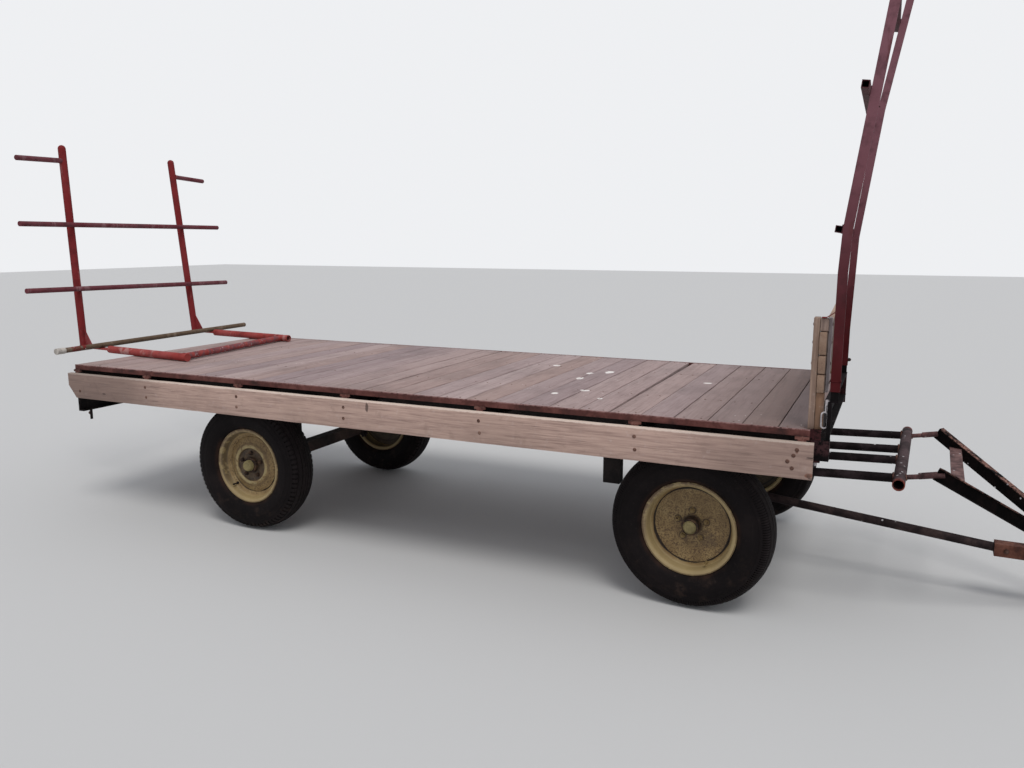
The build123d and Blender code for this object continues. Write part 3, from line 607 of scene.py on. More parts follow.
def wheel_paint(name, centre, front):
    # cream rim paint with rust specks, a grimy middle, dark seams, painted shade and a painted highlight,
    # round the wheel's own centre
    finish = Finish(name)
    place = finish.split(finish.placed(shift=[-v for v in centre]))
    reach = finish.reach(place)
    cloud = finish.noise(9.0, 5, 0.6)
    colour = finish.ramp(cloud, ((0.32, tone(118, 95, 60)), (0.50, tone(141, 117, 77)),
                                 (0.66, tone(157, 135, 94))))
    lip_shade = finish.band(reach, 0.186, 0.196)
    colour = finish.mix(finish.part(lip_shade, 0.6), colour, tone(162, 144, 104))
    ragged = finish.noise(30.0, 4, 0.7, shift=(2, 5, 1))
    few, many = (0.51, 0.57) if front else (0.54, 0.60)
    fine = finish.band(finish.noise(170.0, 3, 0.62, shift=(4, 4, 4)), few, many)
    coarse = finish.band(finish.noise(75.0, 3, 0.6, shift=(8, 1, 3)), 0.60, 0.65)
    spots = finish.both(finish.either(fine, coarse), finish.band(reach, 0.188, 0.178))
    colour = finish.mix(finish.part(spots, 0.8), colour, tone(70, 47, 32))
    if front:
        hole = finish.both(finish.band(reach, 0.056, 0.044), finish.band(ragged, 0.34, 0.46))
        # painted shade: the front disc's upper part is darker, as under the deck's overhang
        shade = finish.part(finish.band(place[2], -0.04, 0.10), finish.band(reach, 0.186, 0.178))
        colour = finish.mix(finish.part(shade, 0.28), colour, tone(108, 88, 54))
        smear = finish.splat((0.042, 0.0, -0.056), (0.100, 1.0, 0.062),
                             finish.placed(shift=[-v for v in centre]))
        # rings of dirt round the five nuts
        turn = finish.part(finish.sum("ARCTAN2", place[2], place[0]), nut_count / math.tau)
        step = finish.less(finish.sum("FRACT", finish.plus(turn, 0.25)), 0.5)
        swing = finish.part(step, math.tau / nut_count)
        out = finish.less(finish.part(reach, finish.sum("COSINE", swing)), nut_circle)
        side = finish.part(reach, finish.sum("SINE", swing))
        gap = finish.sum("SQRT", finish.plus(finish.both(out, out), finish.both(side, side)))
        round_nuts = finish.both(finish.near(gap, 0.0150, 0.0022, 0.003), finish.band(ragged, 0.34, 0.50))
        smeared = finish.part(finish.both(smear, finish.band(ragged, 0.44, 0.56)), 0.65)
        grime_and_shade_marks = finish.either(hole, round_nuts, smeared)
        seam_reach, seam_width = 0.1787, 0.0130
        seam_part = finish.band(ragged, 0.20, 0.32)
    else:
        # painted highlight on the rear disc's raised crest
        crest_highlight = finish.both(finish.near(reach, 0.109, 0.007, 0.004), finish.band(ragged, 0.62, 0.44))
        colour = finish.mix(finish.part(crest_highlight, 0.55), colour, tone(176, 162, 118))
        dark_middle = finish.band(finish.plus(reach, finish.part(ragged, 0.006)), 0.1035, 0.0985)
        # painted shadow line just outside the crest
        painted_shadow_line = finish.both(finish.near(reach, 0.127, 0.003, 0.006), finish.band(ragged, 0.30, 0.60))
        # the barrel wall darker at the upper left: partly dirt, partly painted shade
        barrel_dirt_and_shade = finish.both(finish.near(reach, 0.197, 0.005, 0.004),
                                  finish.band(finish.less(place[2], place[0]), -0.06, 0.12),
                                  finish.band(ragged, 0.30, 0.50))
        grime_and_shade_marks = finish.either(dark_middle, finish.part(painted_shadow_line, 0.5), finish.part(barrel_dirt_and_shade, 0.8))
        seam_reach, seam_width = 0.1668, 0.0095
        seam_part = finish.band(place[2], 0.03, -0.05)
    # grime, and on the rear wheel also painted shade, in a dark brown
    grime = finish.mix(finish.band(ragged, 0.42, 0.62), tone(44, 32, 28), tone(76, 58, 44))
    colour = finish.mix(finish.part(grime_and_shade_marks, 0.85), colour, grime)
    width = finish.part(finish.noise(8.0, 2, shift=(3, 9, 2)), seam_width)
    gap = finish.sum("ABSOLUTE", finish.less(reach, seam_reach))
    seam = finish.both(finish.band(finish.less(gap, width), -0.0012, -0.0030), seam_part)
    colour = finish.mix(finish.part(seam, 0.92), colour, tone(28, 20, 18))
    # the lip darker at the upper left: partly worn paint, partly painted shade
    upper = finish.less(place[2], place[0])
    worn = finish.both(finish.band(reach, 0.198, 0.208), finish.band(upper, 0.05, 0.22),
                       finish.band(ragged, 0.34, 0.58))
    colour = finish.mix(finish.part(worn, 0.7), colour, tone(98, 78, 60))
    edge = finish.both(finish.band(reach, 0.216, 0.2208), finish.band(ragged, 0.36, 0.50))
    line = finish.both(finish.near(reach, 0.2160, 0.0007, 0.0012), finish.band(ragged, 0.30, 0.45))
    colour = finish.mix(finish.part(finish.either(edge, line), 0.75), colour, tone(74, 50, 36))
    # the inner side darker: partly grime, partly painted shade under the deck
    colour = finish.mix(finish.part(finish.own("inner"), 0.8), colour, tone(40, 32, 28))
    rough = finish.plus(finish.part(ragged, 0.15), 0.55)
    return finish.done(colour, rough, finish.less(cloud, spots), 0.0006, 0.5)


def tyre_rubber(name, centre):
    # worn black rubber: mould lines round the wall, a little dust and dried mud low down
    finish = Finish(name, shine=0.12)
    place = finish.split(finish.placed(shift=[-v for v in centre]))
    reach = finish.reach(place)
    ring = finish.sum("FRACT", finish.part(reach, 190.0))
    rings = finish.both(finish.near(ring, 0.5, 0.12, 0.18), finish.band(reach, 0.330, 0.324),
                        finish.band(reach, 0.300, 0.306))
    cloud = finish.noise(6.0, 5, 0.6)
    colour = finish.ramp(cloud, ((0.35, tone(14, 10, 11)), (0.55, tone(20, 15, 16)),
                                 (0.72, tone(28, 22, 22))))
    low = finish.band(finish.plus(place[2], finish.part(cloud, 0.3)), 0.15, -0.30)
    mud = finish.both(finish.band(finish.noise(17.0, 6, 0.7, shift=(5, 3, 2)), 0.50, 0.72), low)
    colour = finish.mix(finish.part(mud, 0.35), colour, tone(84, 66, 56))
    dust = finish.band(finish.noise(70.0, 4, 0.7, shift=(1, 3, 2)), 0.58, 0.78)
    colour = finish.mix(finish.part(dust, 0.16), colour, tone(96, 86, 84))
    stain = finish.both(finish.band(reach, 0.246, 0.226), finish.band(cloud, 0.40, 0.62))
    colour = finish.mix(finish.part(stain, 0.4), colour, tone(70, 46, 34))
    rubbed = finish.both(finish.band(reach, 0.340, 0.366), finish.noise(24.0, 3))
    colour = finish.mix(finish.part(rubbed, 0.22), colour, tone(74, 66, 66))
    height = finish.plus(rings, finish.part(dust, 0.4))
    return finish.done(colour, finish.plus(finish.part(dust, 0.1), 0.70), height, 0.0012, 0.7)


# White marks on the deck: place, length along the wagon and width, from the king pin
deck_marks = [
    (-0.745, 0.258, 0.030, 0.060), (-0.840, 0.174, 0.024, 0.034), (-0.831, -0.019, 0.022, 0.046),
    (-0.784, -0.514, 0.022, 0.030), (-0.674, -0.369, 0.030, 0.026), (-0.530, -0.549, 0.018, 0.018),
    (-0.137, 0.111, 0.026, 0.022), (-1.134, 0.390, 0.026, 0.034),
]

# Stains, drips and checks on the near side board: place along and above, half sizes and tone
board_marks = [
    (-1.676, 0.835, 0.011, 0.030, tone(70, 54, 48)), (-3.604, 0.7563, 0.018, 0.006, tone(54, 40, 36)),
    (0.4933, 0.7316, 0.020, 0.012, tone(142, 84, 58)), (0.4987, 0.8068, 0.022, 0.004, tone(52, 38, 34)),
    (0.5031, 0.7200, 0.016, 0.004, tone(52, 38, 34)), (0.4424, 0.8300, 0.008, 0.014, tone(120, 76, 58)),
]


def channel_edge_highlight(finish):
    # painted highlight along the slanting channels' upper edges
    place = finish.split(finish.inside(carriage_place))
    line = finish.plus(place[2], finish.part(finish.less(place[0], 1.006), 0.66))
    return finish.both(finish.band(line, 0.7085, 0.7125), finish.band(finish.noise(16.0, 4, 0.7), 0.40, 0.55))


def tube_mouths(finish):
    # the last hand's breadth of the cross tube at each end
    side = finish.sum("ABSOLUTE", finish.split(finish.inside(carriage_place))[1])
    return finish.band(finish.plus(side, finish.part(finish.noise(20.0, 4), 0.05)), 0.56, 0.60)


def rear_bracket(finish):
    # the last bracket's head, out of the light behind the board's cut corner
    along_wagon = finish.split(finish.inside(wagon_place))[0]
    return finish.band(along_wagon, deck_rear + 0.09, deck_rear + 0.06)


def beam_ends(finish):
    # rust on the last hand's breadth of the front beam
    side = finish.sum("ABSOLUTE", finish.split(finish.inside(wagon_place))[1])
    return finish.band(finish.plus(side, finish.part(finish.noise(20.0, 4), 0.05)), 0.85, 0.875)


def rack_foot(finish):
    # the foot that the near stub stands on
    level = finish.plus(finish.split()[2], finish.part(finish.noise(30.0, 4), 0.03))
    return finish.both(finish.band(level, 0.895, 0.885), finish.band(level, 0.815, 0.845))


def top_arris(finish):
    level = finish.plus(finish.split()[2], finish.part(finish.noise(25.0, 3), 0.004))
    return finish.band(level, deck_top - 0.0035, deck_top - 0.001)


deck_wood = wood("deck_wood", 1, tone(184, 166, 165), tone(168, 149, 148), tone(128, 110, 107),
                 tone(138, 123, 122), deck_marks, streak=0.35, dim=((-0.3, 0.35, 0.55),))
board_wood = wood("board_wood", 0, tone(198, 172, 160), tone(180, 154, 144), tone(142, 119, 110),
                  tone(150, 128, 118), patch=0.3, streak=0.18, ends=(0.8645, tone(236, 218, 204)),
                  dim=((-2.9, -3.5, 0.60), (-0.2, 0.3, 0.34)))
plank_wood = wood("headboard_plank_wood", 1, tone(196, 172, 152), tone(172, 148, 130), tone(112, 90, 76),
                  tone(122, 106, 96), end_grain_and_front_shade=(headboard_place, deck_half_width - 0.004, 0.0572))
post_wood = wood("headboard_post_wood", 2, tone(174, 154, 140), tone(150, 130, 118), tone(104, 86, 76),
                 tone(118, 102, 94), ((0.516, -0.806, 0.022, 0.026),), drop_level=1.377)
foot_wood = wood("headboard_foot_wood", 2, tone(150, 118, 94), tone(126, 96, 74), tone(82, 58, 44),
                 tone(98, 78, 64))
batten_wood = wood("batten_wood", 2, tone(198, 190, 192), tone(166, 158, 162), tone(84, 72, 74),
                   tone(118, 110, 114))
rack_red = (1.05, 2.45, tone(128, 86, 95))
maroon_paint = old_paint("maroon_paint", tone(70, 14, 18), tone(86, 24, 28), tone(98, 56, 58),
                         tone(50, 28, 26), 0.2, fade=0.8, high=rack_red)
dark_maroon = old_paint("dark_maroon_paint", tone(80, 44, 48), tone(68, 46, 50), tone(60, 48, 50),
                        tone(50, 34, 30), 0.4)
tail_cross = (rear_rack_place, 0.55, 0.49, tone(118, 74, 78))
arm_red = old_paint("rear_rack_arm_paint", tone(150, 58, 54), tone(160, 82, 80), tone(184, 138, 134),
                    tone(96, 40, 34), 0.6, fade=0.7, cross=tail_cross)
upright_red = old_paint("rear_rack_upright_paint", tone(122, 36, 38), tone(130, 48, 50), tone(150, 86, 86),
                        tone(76, 36, 34), 0.45, fade=0.6)
rail_red = old_paint("rear_rack_rail_paint", tone(104, 46, 54), tone(114, 70, 76), tone(138, 102, 106),
                     tone(56, 32, 34), 0.7, fade=0.8)
pole_red = (rear_rack_place, -0.19, 0.055, tone(120, 44, 42))
pole_paint = old_paint("old_pole_paint", tone(106, 88, 72), tone(94, 76, 62), tone(138, 122, 108),
                       tone(70, 50, 42), 0.5, cross=pole_red)
edge_rust = bare_rust("edge_angle_rust", tone(90, 52, 48), tone(111, 69, 64), tone(58, 35, 33), scale=1.4,
                      accent=(top_arris, tone(152, 116, 113)))
cleat_rust = bare_rust("bracket_rust", tone(106, 66, 60), tone(128, 90, 82), tone(62, 38, 36), scale=5.0,
                       accent=(rear_bracket, tone(62, 44, 42)))
tube_rust = bare_rust("tow_tube_rust", tone(26, 19, 21), tone(48, 38, 41), tone(12, 8, 9), 1.0, 1.6,
                      shine=0.1)
cross_rust = bare_rust("cross_tube_rust", tone(62, 48, 50), tone(84, 67, 69), tone(32, 25, 27), 1.0, 1.6,
                       accent=(tube_mouths, tone(134, 68, 56)), shine=0.12)
rod_rust = bare_rust("rod_rust", tone(84, 58, 58), tone(124, 86, 84), tone(50, 34, 34), 0.3, 2.0)
# the a-frame channels' near-black tones are partly painted shade
frame_rust_and_shade = bare_rust("a_frame_rust_and_shade", tone(13, 10, 10), tone(26, 18, 18), tone(8, 6, 6), 1.0, 1.6,
                       accent=(channel_edge_highlight, tone(150, 112, 102)), shine=0.08)
plate_rust = bare_rust("a_frame_plate_rust", tone(106, 78, 76), tone(134, 104, 100), tone(62, 44, 44),
                       1.0, 2.0)
dark_steel = bare_rust("dark_steel", tone(30, 25, 25), tone(48, 40, 38), tone(15, 12, 13))
# the front beam's and rack stubs' near-black tones are partly painted shade
beam_steel_and_shade = bare_rust("front_beam_rust_and_shade", tone(12, 8, 9), tone(28, 18, 18), tone(8, 6, 7), 0.3, 1.4,
                       accent=(beam_ends, tone(62, 32, 34)), shine=0.1)
stub_steel_and_shade = bare_rust("rack_stub_rust_and_shade", tone(11, 9, 10), tone(22, 16, 18), tone(7, 6, 7), 0.0, 3.0,
                       accent=(rack_foot, tone(64, 42, 44)), shine=0.1)
drawbar_steel = bare_rust("drawbar_rust", tone(44, 35, 36), tone(70, 56, 54), tone(26, 20, 21), 0.8, 1.6,
                          shine=0.12)
coupler_rust = bare_rust("coupler_rust", tone(88, 52, 42), tone(118, 76, 62), tone(52, 32, 28), 0.6, 2.0)
axle_rust = bare_rust("axle_rust", tone(50, 39, 36), tone(76, 60, 53), tone(28, 23, 22))
hub_rust = bare_rust("hub_rust", tone(52, 40, 34), tone(88, 66, 48), tone(24, 18, 17), scale=6.0)
bolt_rust = bare_rust("bolt_rust", tone(100, 72, 62), tone(136, 108, 96), tone(56, 40, 36), scale=3.0)
weld_rust = bare_rust("weld_rust", tone(80, 50, 44), tone(112, 80, 70), tone(46, 30, 28), scale=6.0)
zinc = bare_rust("dull_zinc", tone(164, 158, 160), tone(204, 198, 200), tone(104, 98, 100), scale=3.0)
pale_plastic = old_paint("pole_cap_plastic", tone(204, 198, 190), tone(188, 180, 172), tone(216, 210, 204),
                         tone(120, 106, 96), 0.2)
strap_red = old_paint("strap_paint", tone(118, 36, 36), tone(108, 42, 40), tone(134, 84, 78),
                      tone(66, 36, 32), 0.4)
cap_paint = old_paint("hub_cap_paint", tone(142, 130, 92), tone(130, 119, 84), tone(106, 96, 72),
                      tone(70, 50, 38), 0.5)
nut_paint = old_paint("wheel_nut_paint", tone(140, 120, 82), tone(112, 92, 64), tone(84, 64, 46),
                      tone(56, 38, 30), 0.9)

# Finishes on the frame's own pieces
frame_finishes = {
    "edge_angles": edge_rust, "board_brackets": cleat_rust, "front_beam": beam_steel_and_shade,
    "cross_members": dark_steel, "main_beams": dark_steel, "rear_beam": dark_steel,
    "hanging_strap": dark_steel, "rear_axle": axle_rust, "front_axle": axle_rust,
    "rear_pedestals": dark_steel, "turntable_upper": dark_steel, "turntable_lower": dark_steel,
    "bolsters": dark_steel, "king_pin": dark_steel, "stop_posts": dark_steel,
    "carriage_frame": dark_steel, "carriage_pedestals": dark_steel,
    "rack_posts": maroon_paint, "rack_bars": dark_maroon, "rack_stubs": stub_steel_and_shade,
    "tail_base": arm_red, "tail_uprights": upright_red, "tail_rails": rail_red, "pole": pole_paint,
    "tow_tubes": tube_rust, "tow_cross_tube": cross_rust, "frame_rods": rod_rust,
    "frame_channels": frame_rust_and_shade, "frame_plate": plate_rust, "drawbar_tube": drawbar_steel,
    "coupler_bar": coupler_rust, "tow_eye": dark_steel,
    "deck_planks": deck_wood, "side_board_left": board_wood, "side_board_right": board_wood,
    "headboard_posts": post_wood, "headboard_blocks": post_wood, "headboard_planks": plank_wood,
    "headboard_battens": batten_wood,
}
for node, finish in frame_finishes.items():
    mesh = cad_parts[node].data
    mesh.materials.clear()
    mesh.materials.append(finish)

# Wheels: one tyre, two kinds of rim and hub, each copied to its places
half_rim = 0.062
flange_y = 0.070
bead_radius = 0.203
flange_radius = 0.2225
barrel_radius = bead_radius - 0.0003
barrel_inside = barrel_radius - 0.005
shoulder_drop = 0.022
shoulder_y = 0.082
crown_arc = (shoulder_drop ** 2 + shoulder_y ** 2) / (2 * shoulder_drop)


def crown(y, depth=0.0):
    # the tread's radius this far from the tyre's middle plane
    return wheel_radius - crown_arc + math.sqrt(crown_arc ** 2 - y * y) - depth


def tyre_outline():
    wall = [
        (0.2035, 0.0616), (0.222, 0.0618), (0.2236, 0.0650), (0.2270, 0.0700), (0.2330, 0.0760),
        (0.2400, 0.0812), (0.2480, 0.0856), (0.2500, 0.0868), (0.2520, 0.0868), (0.2540, 0.0880),
        (0.2660, 0.0916), (0.2800, 0.0940), (0.2960, 0.0949), (0.3000, 0.0949), (0.3015, 0.0938),
        (0.3120, 0.0938), (0.3230, 0.0924), (0.3245, 0.0934), (0.3280, 0.0928), (0.3295, 0.0914),
        (0.3370, 0.0900), (0.3450, 0.0880), (0.3520, 0.0856), (0.3570, 0.0830),
    ]
    tread = [(crown(0.080), 0.080), (crown(0.073), 0.073), (crown(0.0655), 0.0655)]
    for middle, half in ((0.0625, 0.003), (0.0345, 0.0035), (0.0100, 0.0035)):
        tread.append((crown(middle + half), middle + half))
        tread.append((crown(middle, 0.0075), middle + half * 0.5))
        tread.append((crown(middle, 0.0075), middle - half * 0.5))
        tread.append((crown(middle - half), middle - half))
    side = wall + tread
    return side + [(r, -y) for r, y in reversed(side)]


def tyre(name, blocks, columns, cut_columns, cut_from, depth):
    # the cuts between the shoulder blocks run down on to the wall, and the ribs have zigzag edges
    steps = blocks * columns
    obj = turned(name, tyre_outline(), closed=True, steps=steps)

    def column(point):
        return math.floor((math.atan2(point.z, point.x) / math.tau % 1) * steps)

    bench(obj)
    pick_faces(obj, lambda c, n: abs(c.y) > 0.0665 and c.xz.length > cut_from
               and column(c) % columns < cut_columns)
    bpy.ops.mesh.inset(thickness=0.0005)
    bpy.ops.transform.shrink_fatten(value=-depth)
    pick_points(obj, lambda p: abs(p.y) < 0.045 and p.xz.length > 0.370
                and round(math.atan2(p.z, p.x) / math.tau * steps) % 6 < 3)
    bpy.ops.transform.translate(value=(0, 0.0022, 0))
    off_bench()
    return even_shine(obj, 38)


# blocks round the tyre, columns to each, cut columns, how far in the cuts reach and their depth
front_tyre_model = tyre("front_tyre_model", 192, 3, 1, 0.3380, 0.0045)
rear_tyre_model = tyre("rear_tyre_model", 80, 6, 2, 0.3460, 0.0060)


def rim_back():
    return [
        (flange_radius - 0.004, flange_y), (flange_radius, flange_y - 0.003),
        (flange_radius, half_rim + 0.0003), (barrel_radius, half_rim + 0.0003),
        (barrel_radius, -half_rim - 0.0003), (flange_radius, -half_rim - 0.0003),
        (flange_radius, -flange_y + 0.003), (flange_radius - 0.004, -flange_y),
        (barrel_inside + 0.006, -flange_y), (barrel_inside, -flange_y + 0.010),
    ]


front_disc = -0.004
rear_disc = 0.028
rim_lip = [
    (barrel_inside, flange_y - 0.016), (barrel_inside + 0.002, flange_y - 0.009),
    (barrel_inside + 0.006, flange_y - 0.004), (barrel_inside + 0.012, flange_y - 0.0012),
    (barrel_inside + 0.016, flange_y - 0.0002),
]
front_rim_outline = rim_back() + [
    (barrel_inside, -0.012), (0.0403, -0.012), (0.0403, front_disc), (0.090, front_disc), (0.140, 0.0005),
    (0.172, 0.0035), (0.1778, 0.004), (0.1790, 0.001), (0.1820, 0.001), (0.1850, 0.009), (0.1900, 0.017),
    (barrel_inside - 0.003, 0.022),
] + rim_lip
rear_rim_outline = rim_back() + [
    (barrel_inside, 0.012), (0.160, 0.004), (0.125, 0.020), (0.0453, 0.020), (0.0453, rear_disc),
    (0.094, rear_disc), (0.0975, 0.034), (0.101, 0.039), (0.108, 0.0415), (0.116, 0.039), (0.127, 0.033),
    (0.145, 0.0245), (0.160, 0.0175), (0.165, 0.0155), (0.1665, 0.0125), (0.1685, 0.0125), (0.172, 0.018),
    (0.1865, 0.0235), (barrel_inside - 0.003, 0.032),
] + rim_lip


def rim(name, outline, back):
    # the side towards the wagon, which starts at the back of the disc, is marked for its darkening, partly
    # dirt and partly painted shade
    obj = turned(name, outline, closed=True, steps=120)
    round_edges(obj, 0.0012, 2, 25)
    inner = [float(point.co.xz.length < barrel_inside + 0.0005
                   and (point.normal.y < -0.3 or point.co.y < back))
             for point in obj.data.vertices]
    obj.data.attributes.new("inner", "FLOAT", "POINT").data.foreach_set("value", inner)
    return even_shine(obj, 40)


def valve(name, disc, reach, turn):
    # a stem with its cap, this far round from the lowest point
    stem = round_bar("stem", (0, 0, 0), (0, 0.028, 0), 0.0042, 12)
    cap = round_bar("cap", (0, 0.027, 0), (0, 0.040, 0), 0.0055, 10)
    round_edges(cap, 0.0012, 2)
    nut = round_bar("nut", (0, 0, 0), (0, 0.005, 0), 0.009, 6)
    piece = join(name, [stem, cap, nut])
    turn = math.radians(turn)
    return set_out(piece, Matrix.Translation((reach * math.sin(turn), disc, -reach * math.cos(turn))))


def hub_body(name, disc, flange, boss, cap, boss_end):
    back = disc - 0.0083
    face = back - 0.012
    body = turned(name, [
        (0.02508, -0.095), (0.055, -0.095), (0.055, face), (flange, face), (flange, back), (boss, back),
        (boss, boss_end - 0.003), (boss - 0.003, boss_end), (cap, boss_end), (0.02508, boss_end - 0.03),
        (0.02508, -0.094),
    ], steps=64)
    round_edges(body, 0.001, 1, 40)
    return even_shine(body, 40)


def dust_cap(name, cap, cap_end, boss_end):
    # a pressed cap with a rolled skirt and a shallow dish in its end
    dome = turned(name, [
        (0.026, boss_end - 0.004), (cap, boss_end - 0.004), (cap + 0.002, boss_end + 0.002),
        (cap + 0.002, boss_end + 0.005), (cap, boss_end + 0.008), (cap, cap_end - 0.009),
        (cap - 0.003, cap_end - 0.004), (cap - 0.008, cap_end - 0.0005), (cap - 0.012, cap_end - 0.001),
        (cap - 0.014, cap_end - 0.003), (0.0, cap_end - 0.0035),
    ], steps=48)
    return even_shine(dome, 40)


nut_model = hex_nut("wheel_nut", 0.019, 0.012, 0.006, 0.007)


def nuts(name, disc):
    places = []
    for number in range(nut_count):
        turn = math.radians(90 + 72 * number)
        at = (nut_circle * math.cos(turn), disc, nut_circle * math.sin(turn))
        places.append(facing(at, (0, 1, 0), turn * 1.7))
    spare = nut_model.copy()
    spare.data = nut_model.data.copy()
    bpy.context.scene.collection.objects.link(spare)
    return even_shine(scatter(name, spare, places), 30)


front_rim_model = rim("front_rim_model", front_rim_outline, -0.011)
rear_rim_model = rim("rear_rim_model", rear_rim_outline, 0.011)
front_hub_model = hub_body("front_hub_model", front_disc, 0.095, 0.040, 0.029, 0.040)
front_cap_model = dust_cap("front_cap_model", 0.029, 0.055, 0.040)
rear_hub_model = hub_body("rear_hub_model", rear_disc, 0.095, 0.045, 0.031, 0.050)
rear_cap_model = dust_cap("rear_cap_model", 0.031, 0.079, 0.050)
front_nuts_model = nuts("front_nuts_model", front_disc + 0.0008)
rear_nuts_model = nuts("rear_nuts_model", rear_disc + 0.0008)
bpy.data.objects.remove(nut_model)
front_valve_model = valve("front_valve_model", 0.006, 0.184, -25)
rear_valve_model = valve("rear_valve_model", 0.019, 0.180, 44)
wheel_table = [
    ("front_left", 0, 1, rest_steer), ("front_right", 0, -1, rest_steer),
    ("rear_left", -wheelbase, 1, 0), ("rear_right", -wheelbase, -1, 0),
]
for corner, axle_x, side, steer in wheel_table:
    front = corner.startswith("front")
    hub_centre = Matrix.Translation((axle_x, side * track / 2, wheel_radius))
    place = wagon_place @ Matrix.Rotation(steer, 4, "Z") @ hub_centre
    if side < 0:
        place = place @ Matrix.Rotation(math.pi, 4, "Z")
    body = corner + "_wheel_set"
    centre = place.translation
    rubber = tyre_rubber(corner + "_rubber", centre)
    paint = wheel_paint(corner + "_rim_paint", centre, front)
    if front:
        chosen = (front_tyre_model, front_rim_model, front_hub_model, front_cap_model, front_nuts_model,
                  front_valve_model)
    else:
        chosen = (rear_tyre_model, rear_rim_model, rear_hub_model, rear_cap_model, rear_nuts_model,
                  rear_valve_model)
    # kind, finish, slot and the node that it stands for
    rows = [
        ("tread_and_walls", rubber, "tyre", ["tyre"]), ("rim", paint, "cream_paint", ["wheel"]),
        ("hub", hub_rust, "cream_paint", ["hub"]), ("dust_cap", cap_paint, "cream_paint", []),
        ("nuts", nut_paint if front else hub_rust, "cream_paint", []),
        ("valve", nut_paint if front else dark_steel, "dark_steel", []),
    ]
    for (kind, finish, slot, stands_for), model in zip(rows, chosen):
        piece = copy_to(model, place)
        piece.name = corner + "_" + kind
        fit(piece, body, finish, [corner + "_" + node for node in stands_for])
for model in (front_tyre_model, rear_tyre_model, front_rim_model, rear_rim_model, front_hub_model,
              rear_hub_model, front_cap_model, rear_cap_model, front_nuts_model, rear_nuts_model,
              front_valve_model, rear_valve_model):
    bpy.data.objects.remove(model)

# Deck planks, laid crosswise with two wide seams, the front one widening to the far side
plank_half = deck_half_width - 0.0053
plank_bottom = deck_top - 0.024
plank_gap = 0.005
rear_seam, front_seam = -1.730, -0.381
seam_spread = 0.020
front_pitch = 0.148
spans = []
# start and end of each run of planks, how many it has and the seam after its last one
plank_runs = ((deck_rear, rear_seam, 15, 0.012), (rear_seam, front_seam, 9, 0.011))
for run_start, run_end, count, last_gap in plank_runs:
    plank_pitch = (run_end - run_start) / count
    for number in range(count):
        start = run_start + number * plank_pitch
        spans.append((start, start + plank_pitch - (last_gap if number == count - 1 else plank_gap)))
for number in range(math.ceil((deck_front - front_seam) / front_pitch)):
    start = front_seam + number * front_pitch
    spans.append((start, min(start + front_pitch - plank_gap, deck_front)))
chance = random.Random(11)
planks = []
for number, (start, end) in enumerate(spans):
    sink = chance.uniform(0.0006, 0.0022)
    plank = sawn_block("plank", (start, -plank_half, plank_bottom), (end, plank_half, deck_top - sink))
    if end < front_seam < end + 0.03:
        bench(plank)
        pick_points(plank, lambda p: p.x > front_seam - 0.05 and p.y > 0)
        bpy.ops.transform.translate(value=(-seam_spread, 0, 0))
        off_bench()
    divide_lengthways(plank, 1, 14)
    weather(plank, 0.0011, number)
    round_edges(plank, 0.0018, 2, 50)
    mark(plank, "shade", chance.random())
    planks.append(plank)
deck = even_shine(join("deck_boards", planks), 40)
set_out(deck, wagon_place)
fit(deck, "wagon", deck_wood, ["deck_planks"])

nail_places = []
for number, (start, end) in enumerate(spans):
    for y in (-plank_half + 0.035, -0.36, 0.36, plank_half - 0.035):
        for share in (0.25, 0.75):
            x = start + (end - start) * share + chance.uniform(-0.006, 0.006)
            nail_places.append(facing((x, y + chance.uniform(-0.006, 0.006), deck_top - 0.0022), (0, 0, 1)))
nails = scatter("deck_nails", dome_head("nail", 0.0042, 0.0019), nail_places)
set_out(nails, wagon_place)
fit(nails, "wagon", bolt_rust)

# Side boards, cut away low at the rear end, split at the front end
board_bottom, board_top = 0.714, 0.867
board_inner, board_outer = deck_half_width + 0.012, deck_half_width + 0.040
board_front, board_rear = deck_front + 0.021, deck_rear - 0.021
bolt_rows = (-3.250, -2.548, -1.821, -1.026, -0.249)
corner_cut = 0.079
lone_bolts = (
    (-3.815, 0.7589), (0.430, 0.8107), (0.407, 0.7838), (0.426, 0.7562), (0.4933, 0.7316), (0.4424, 0.8361),
)
for side, name in ((1, "left"), (-1, "right")):
    near, far = sorted((side * board_inner, side * board_outer))
    board = sawn_block("side_plank_" + name, (board_rear, near, board_bottom), (board_front, far, board_top))
    cutter = sawn_block("cutter", (board_rear - 0.03, near - 0.02, board_bottom - 0.02),
                        (board_rear + corner_cut, far + 0.02, board_bottom + 0.0765))
    bench(cutter)
    pick_points(cutter, lambda p: p.x > board_rear and p.z > board_bottom)
    bpy.ops.transform.translate(value=(-corner_cut, 0, 0))
    off_bench()
    divide_lengthways(board, 0, 60)
    cut_away(board, cutter)
    split = sawn_block("split", (board_front - 0.042, near - 0.01, 0.7985),
                       (board_front + 0.01, far + 0.01, 0.8010))
    bench(split)
    pick_points(split, lambda p: p.x < board_front - 0.02)
    bpy.ops.transform.resize(value=(1, 1, 0.1))
    off_bench()
    cut_away(board, split)
    weather(board, 0.0009, 40 + side)
    round_edges(board, 0.0022, 2, 50)
    mark(board, "shade", 0.95)
    even_shine(board, 40)
    set_out(board, wagon_place)
    fit(board, "wagon", board_wood, ["side_board_" + name])
    heads = []
    face_y = side * (board_outer - 0.001)
    for row in bolt_rows:
        for level in (0.824, 0.764):
            heads.append(facing((row + chance.uniform(-0.004, 0.004), face_y, level), (0, side, 0)))
    for x, level in lone_bolts:
        heads.append(facing((x, face_y, level), (0, side, 0)))
    bolts = scatter("side_board_bolts_" + name, dome_head("bolt_head", 0.0085, 0.0045), heads)
    set_out(bolts, wagon_place)
    fit(bolts, "wagon", bolt_rust)

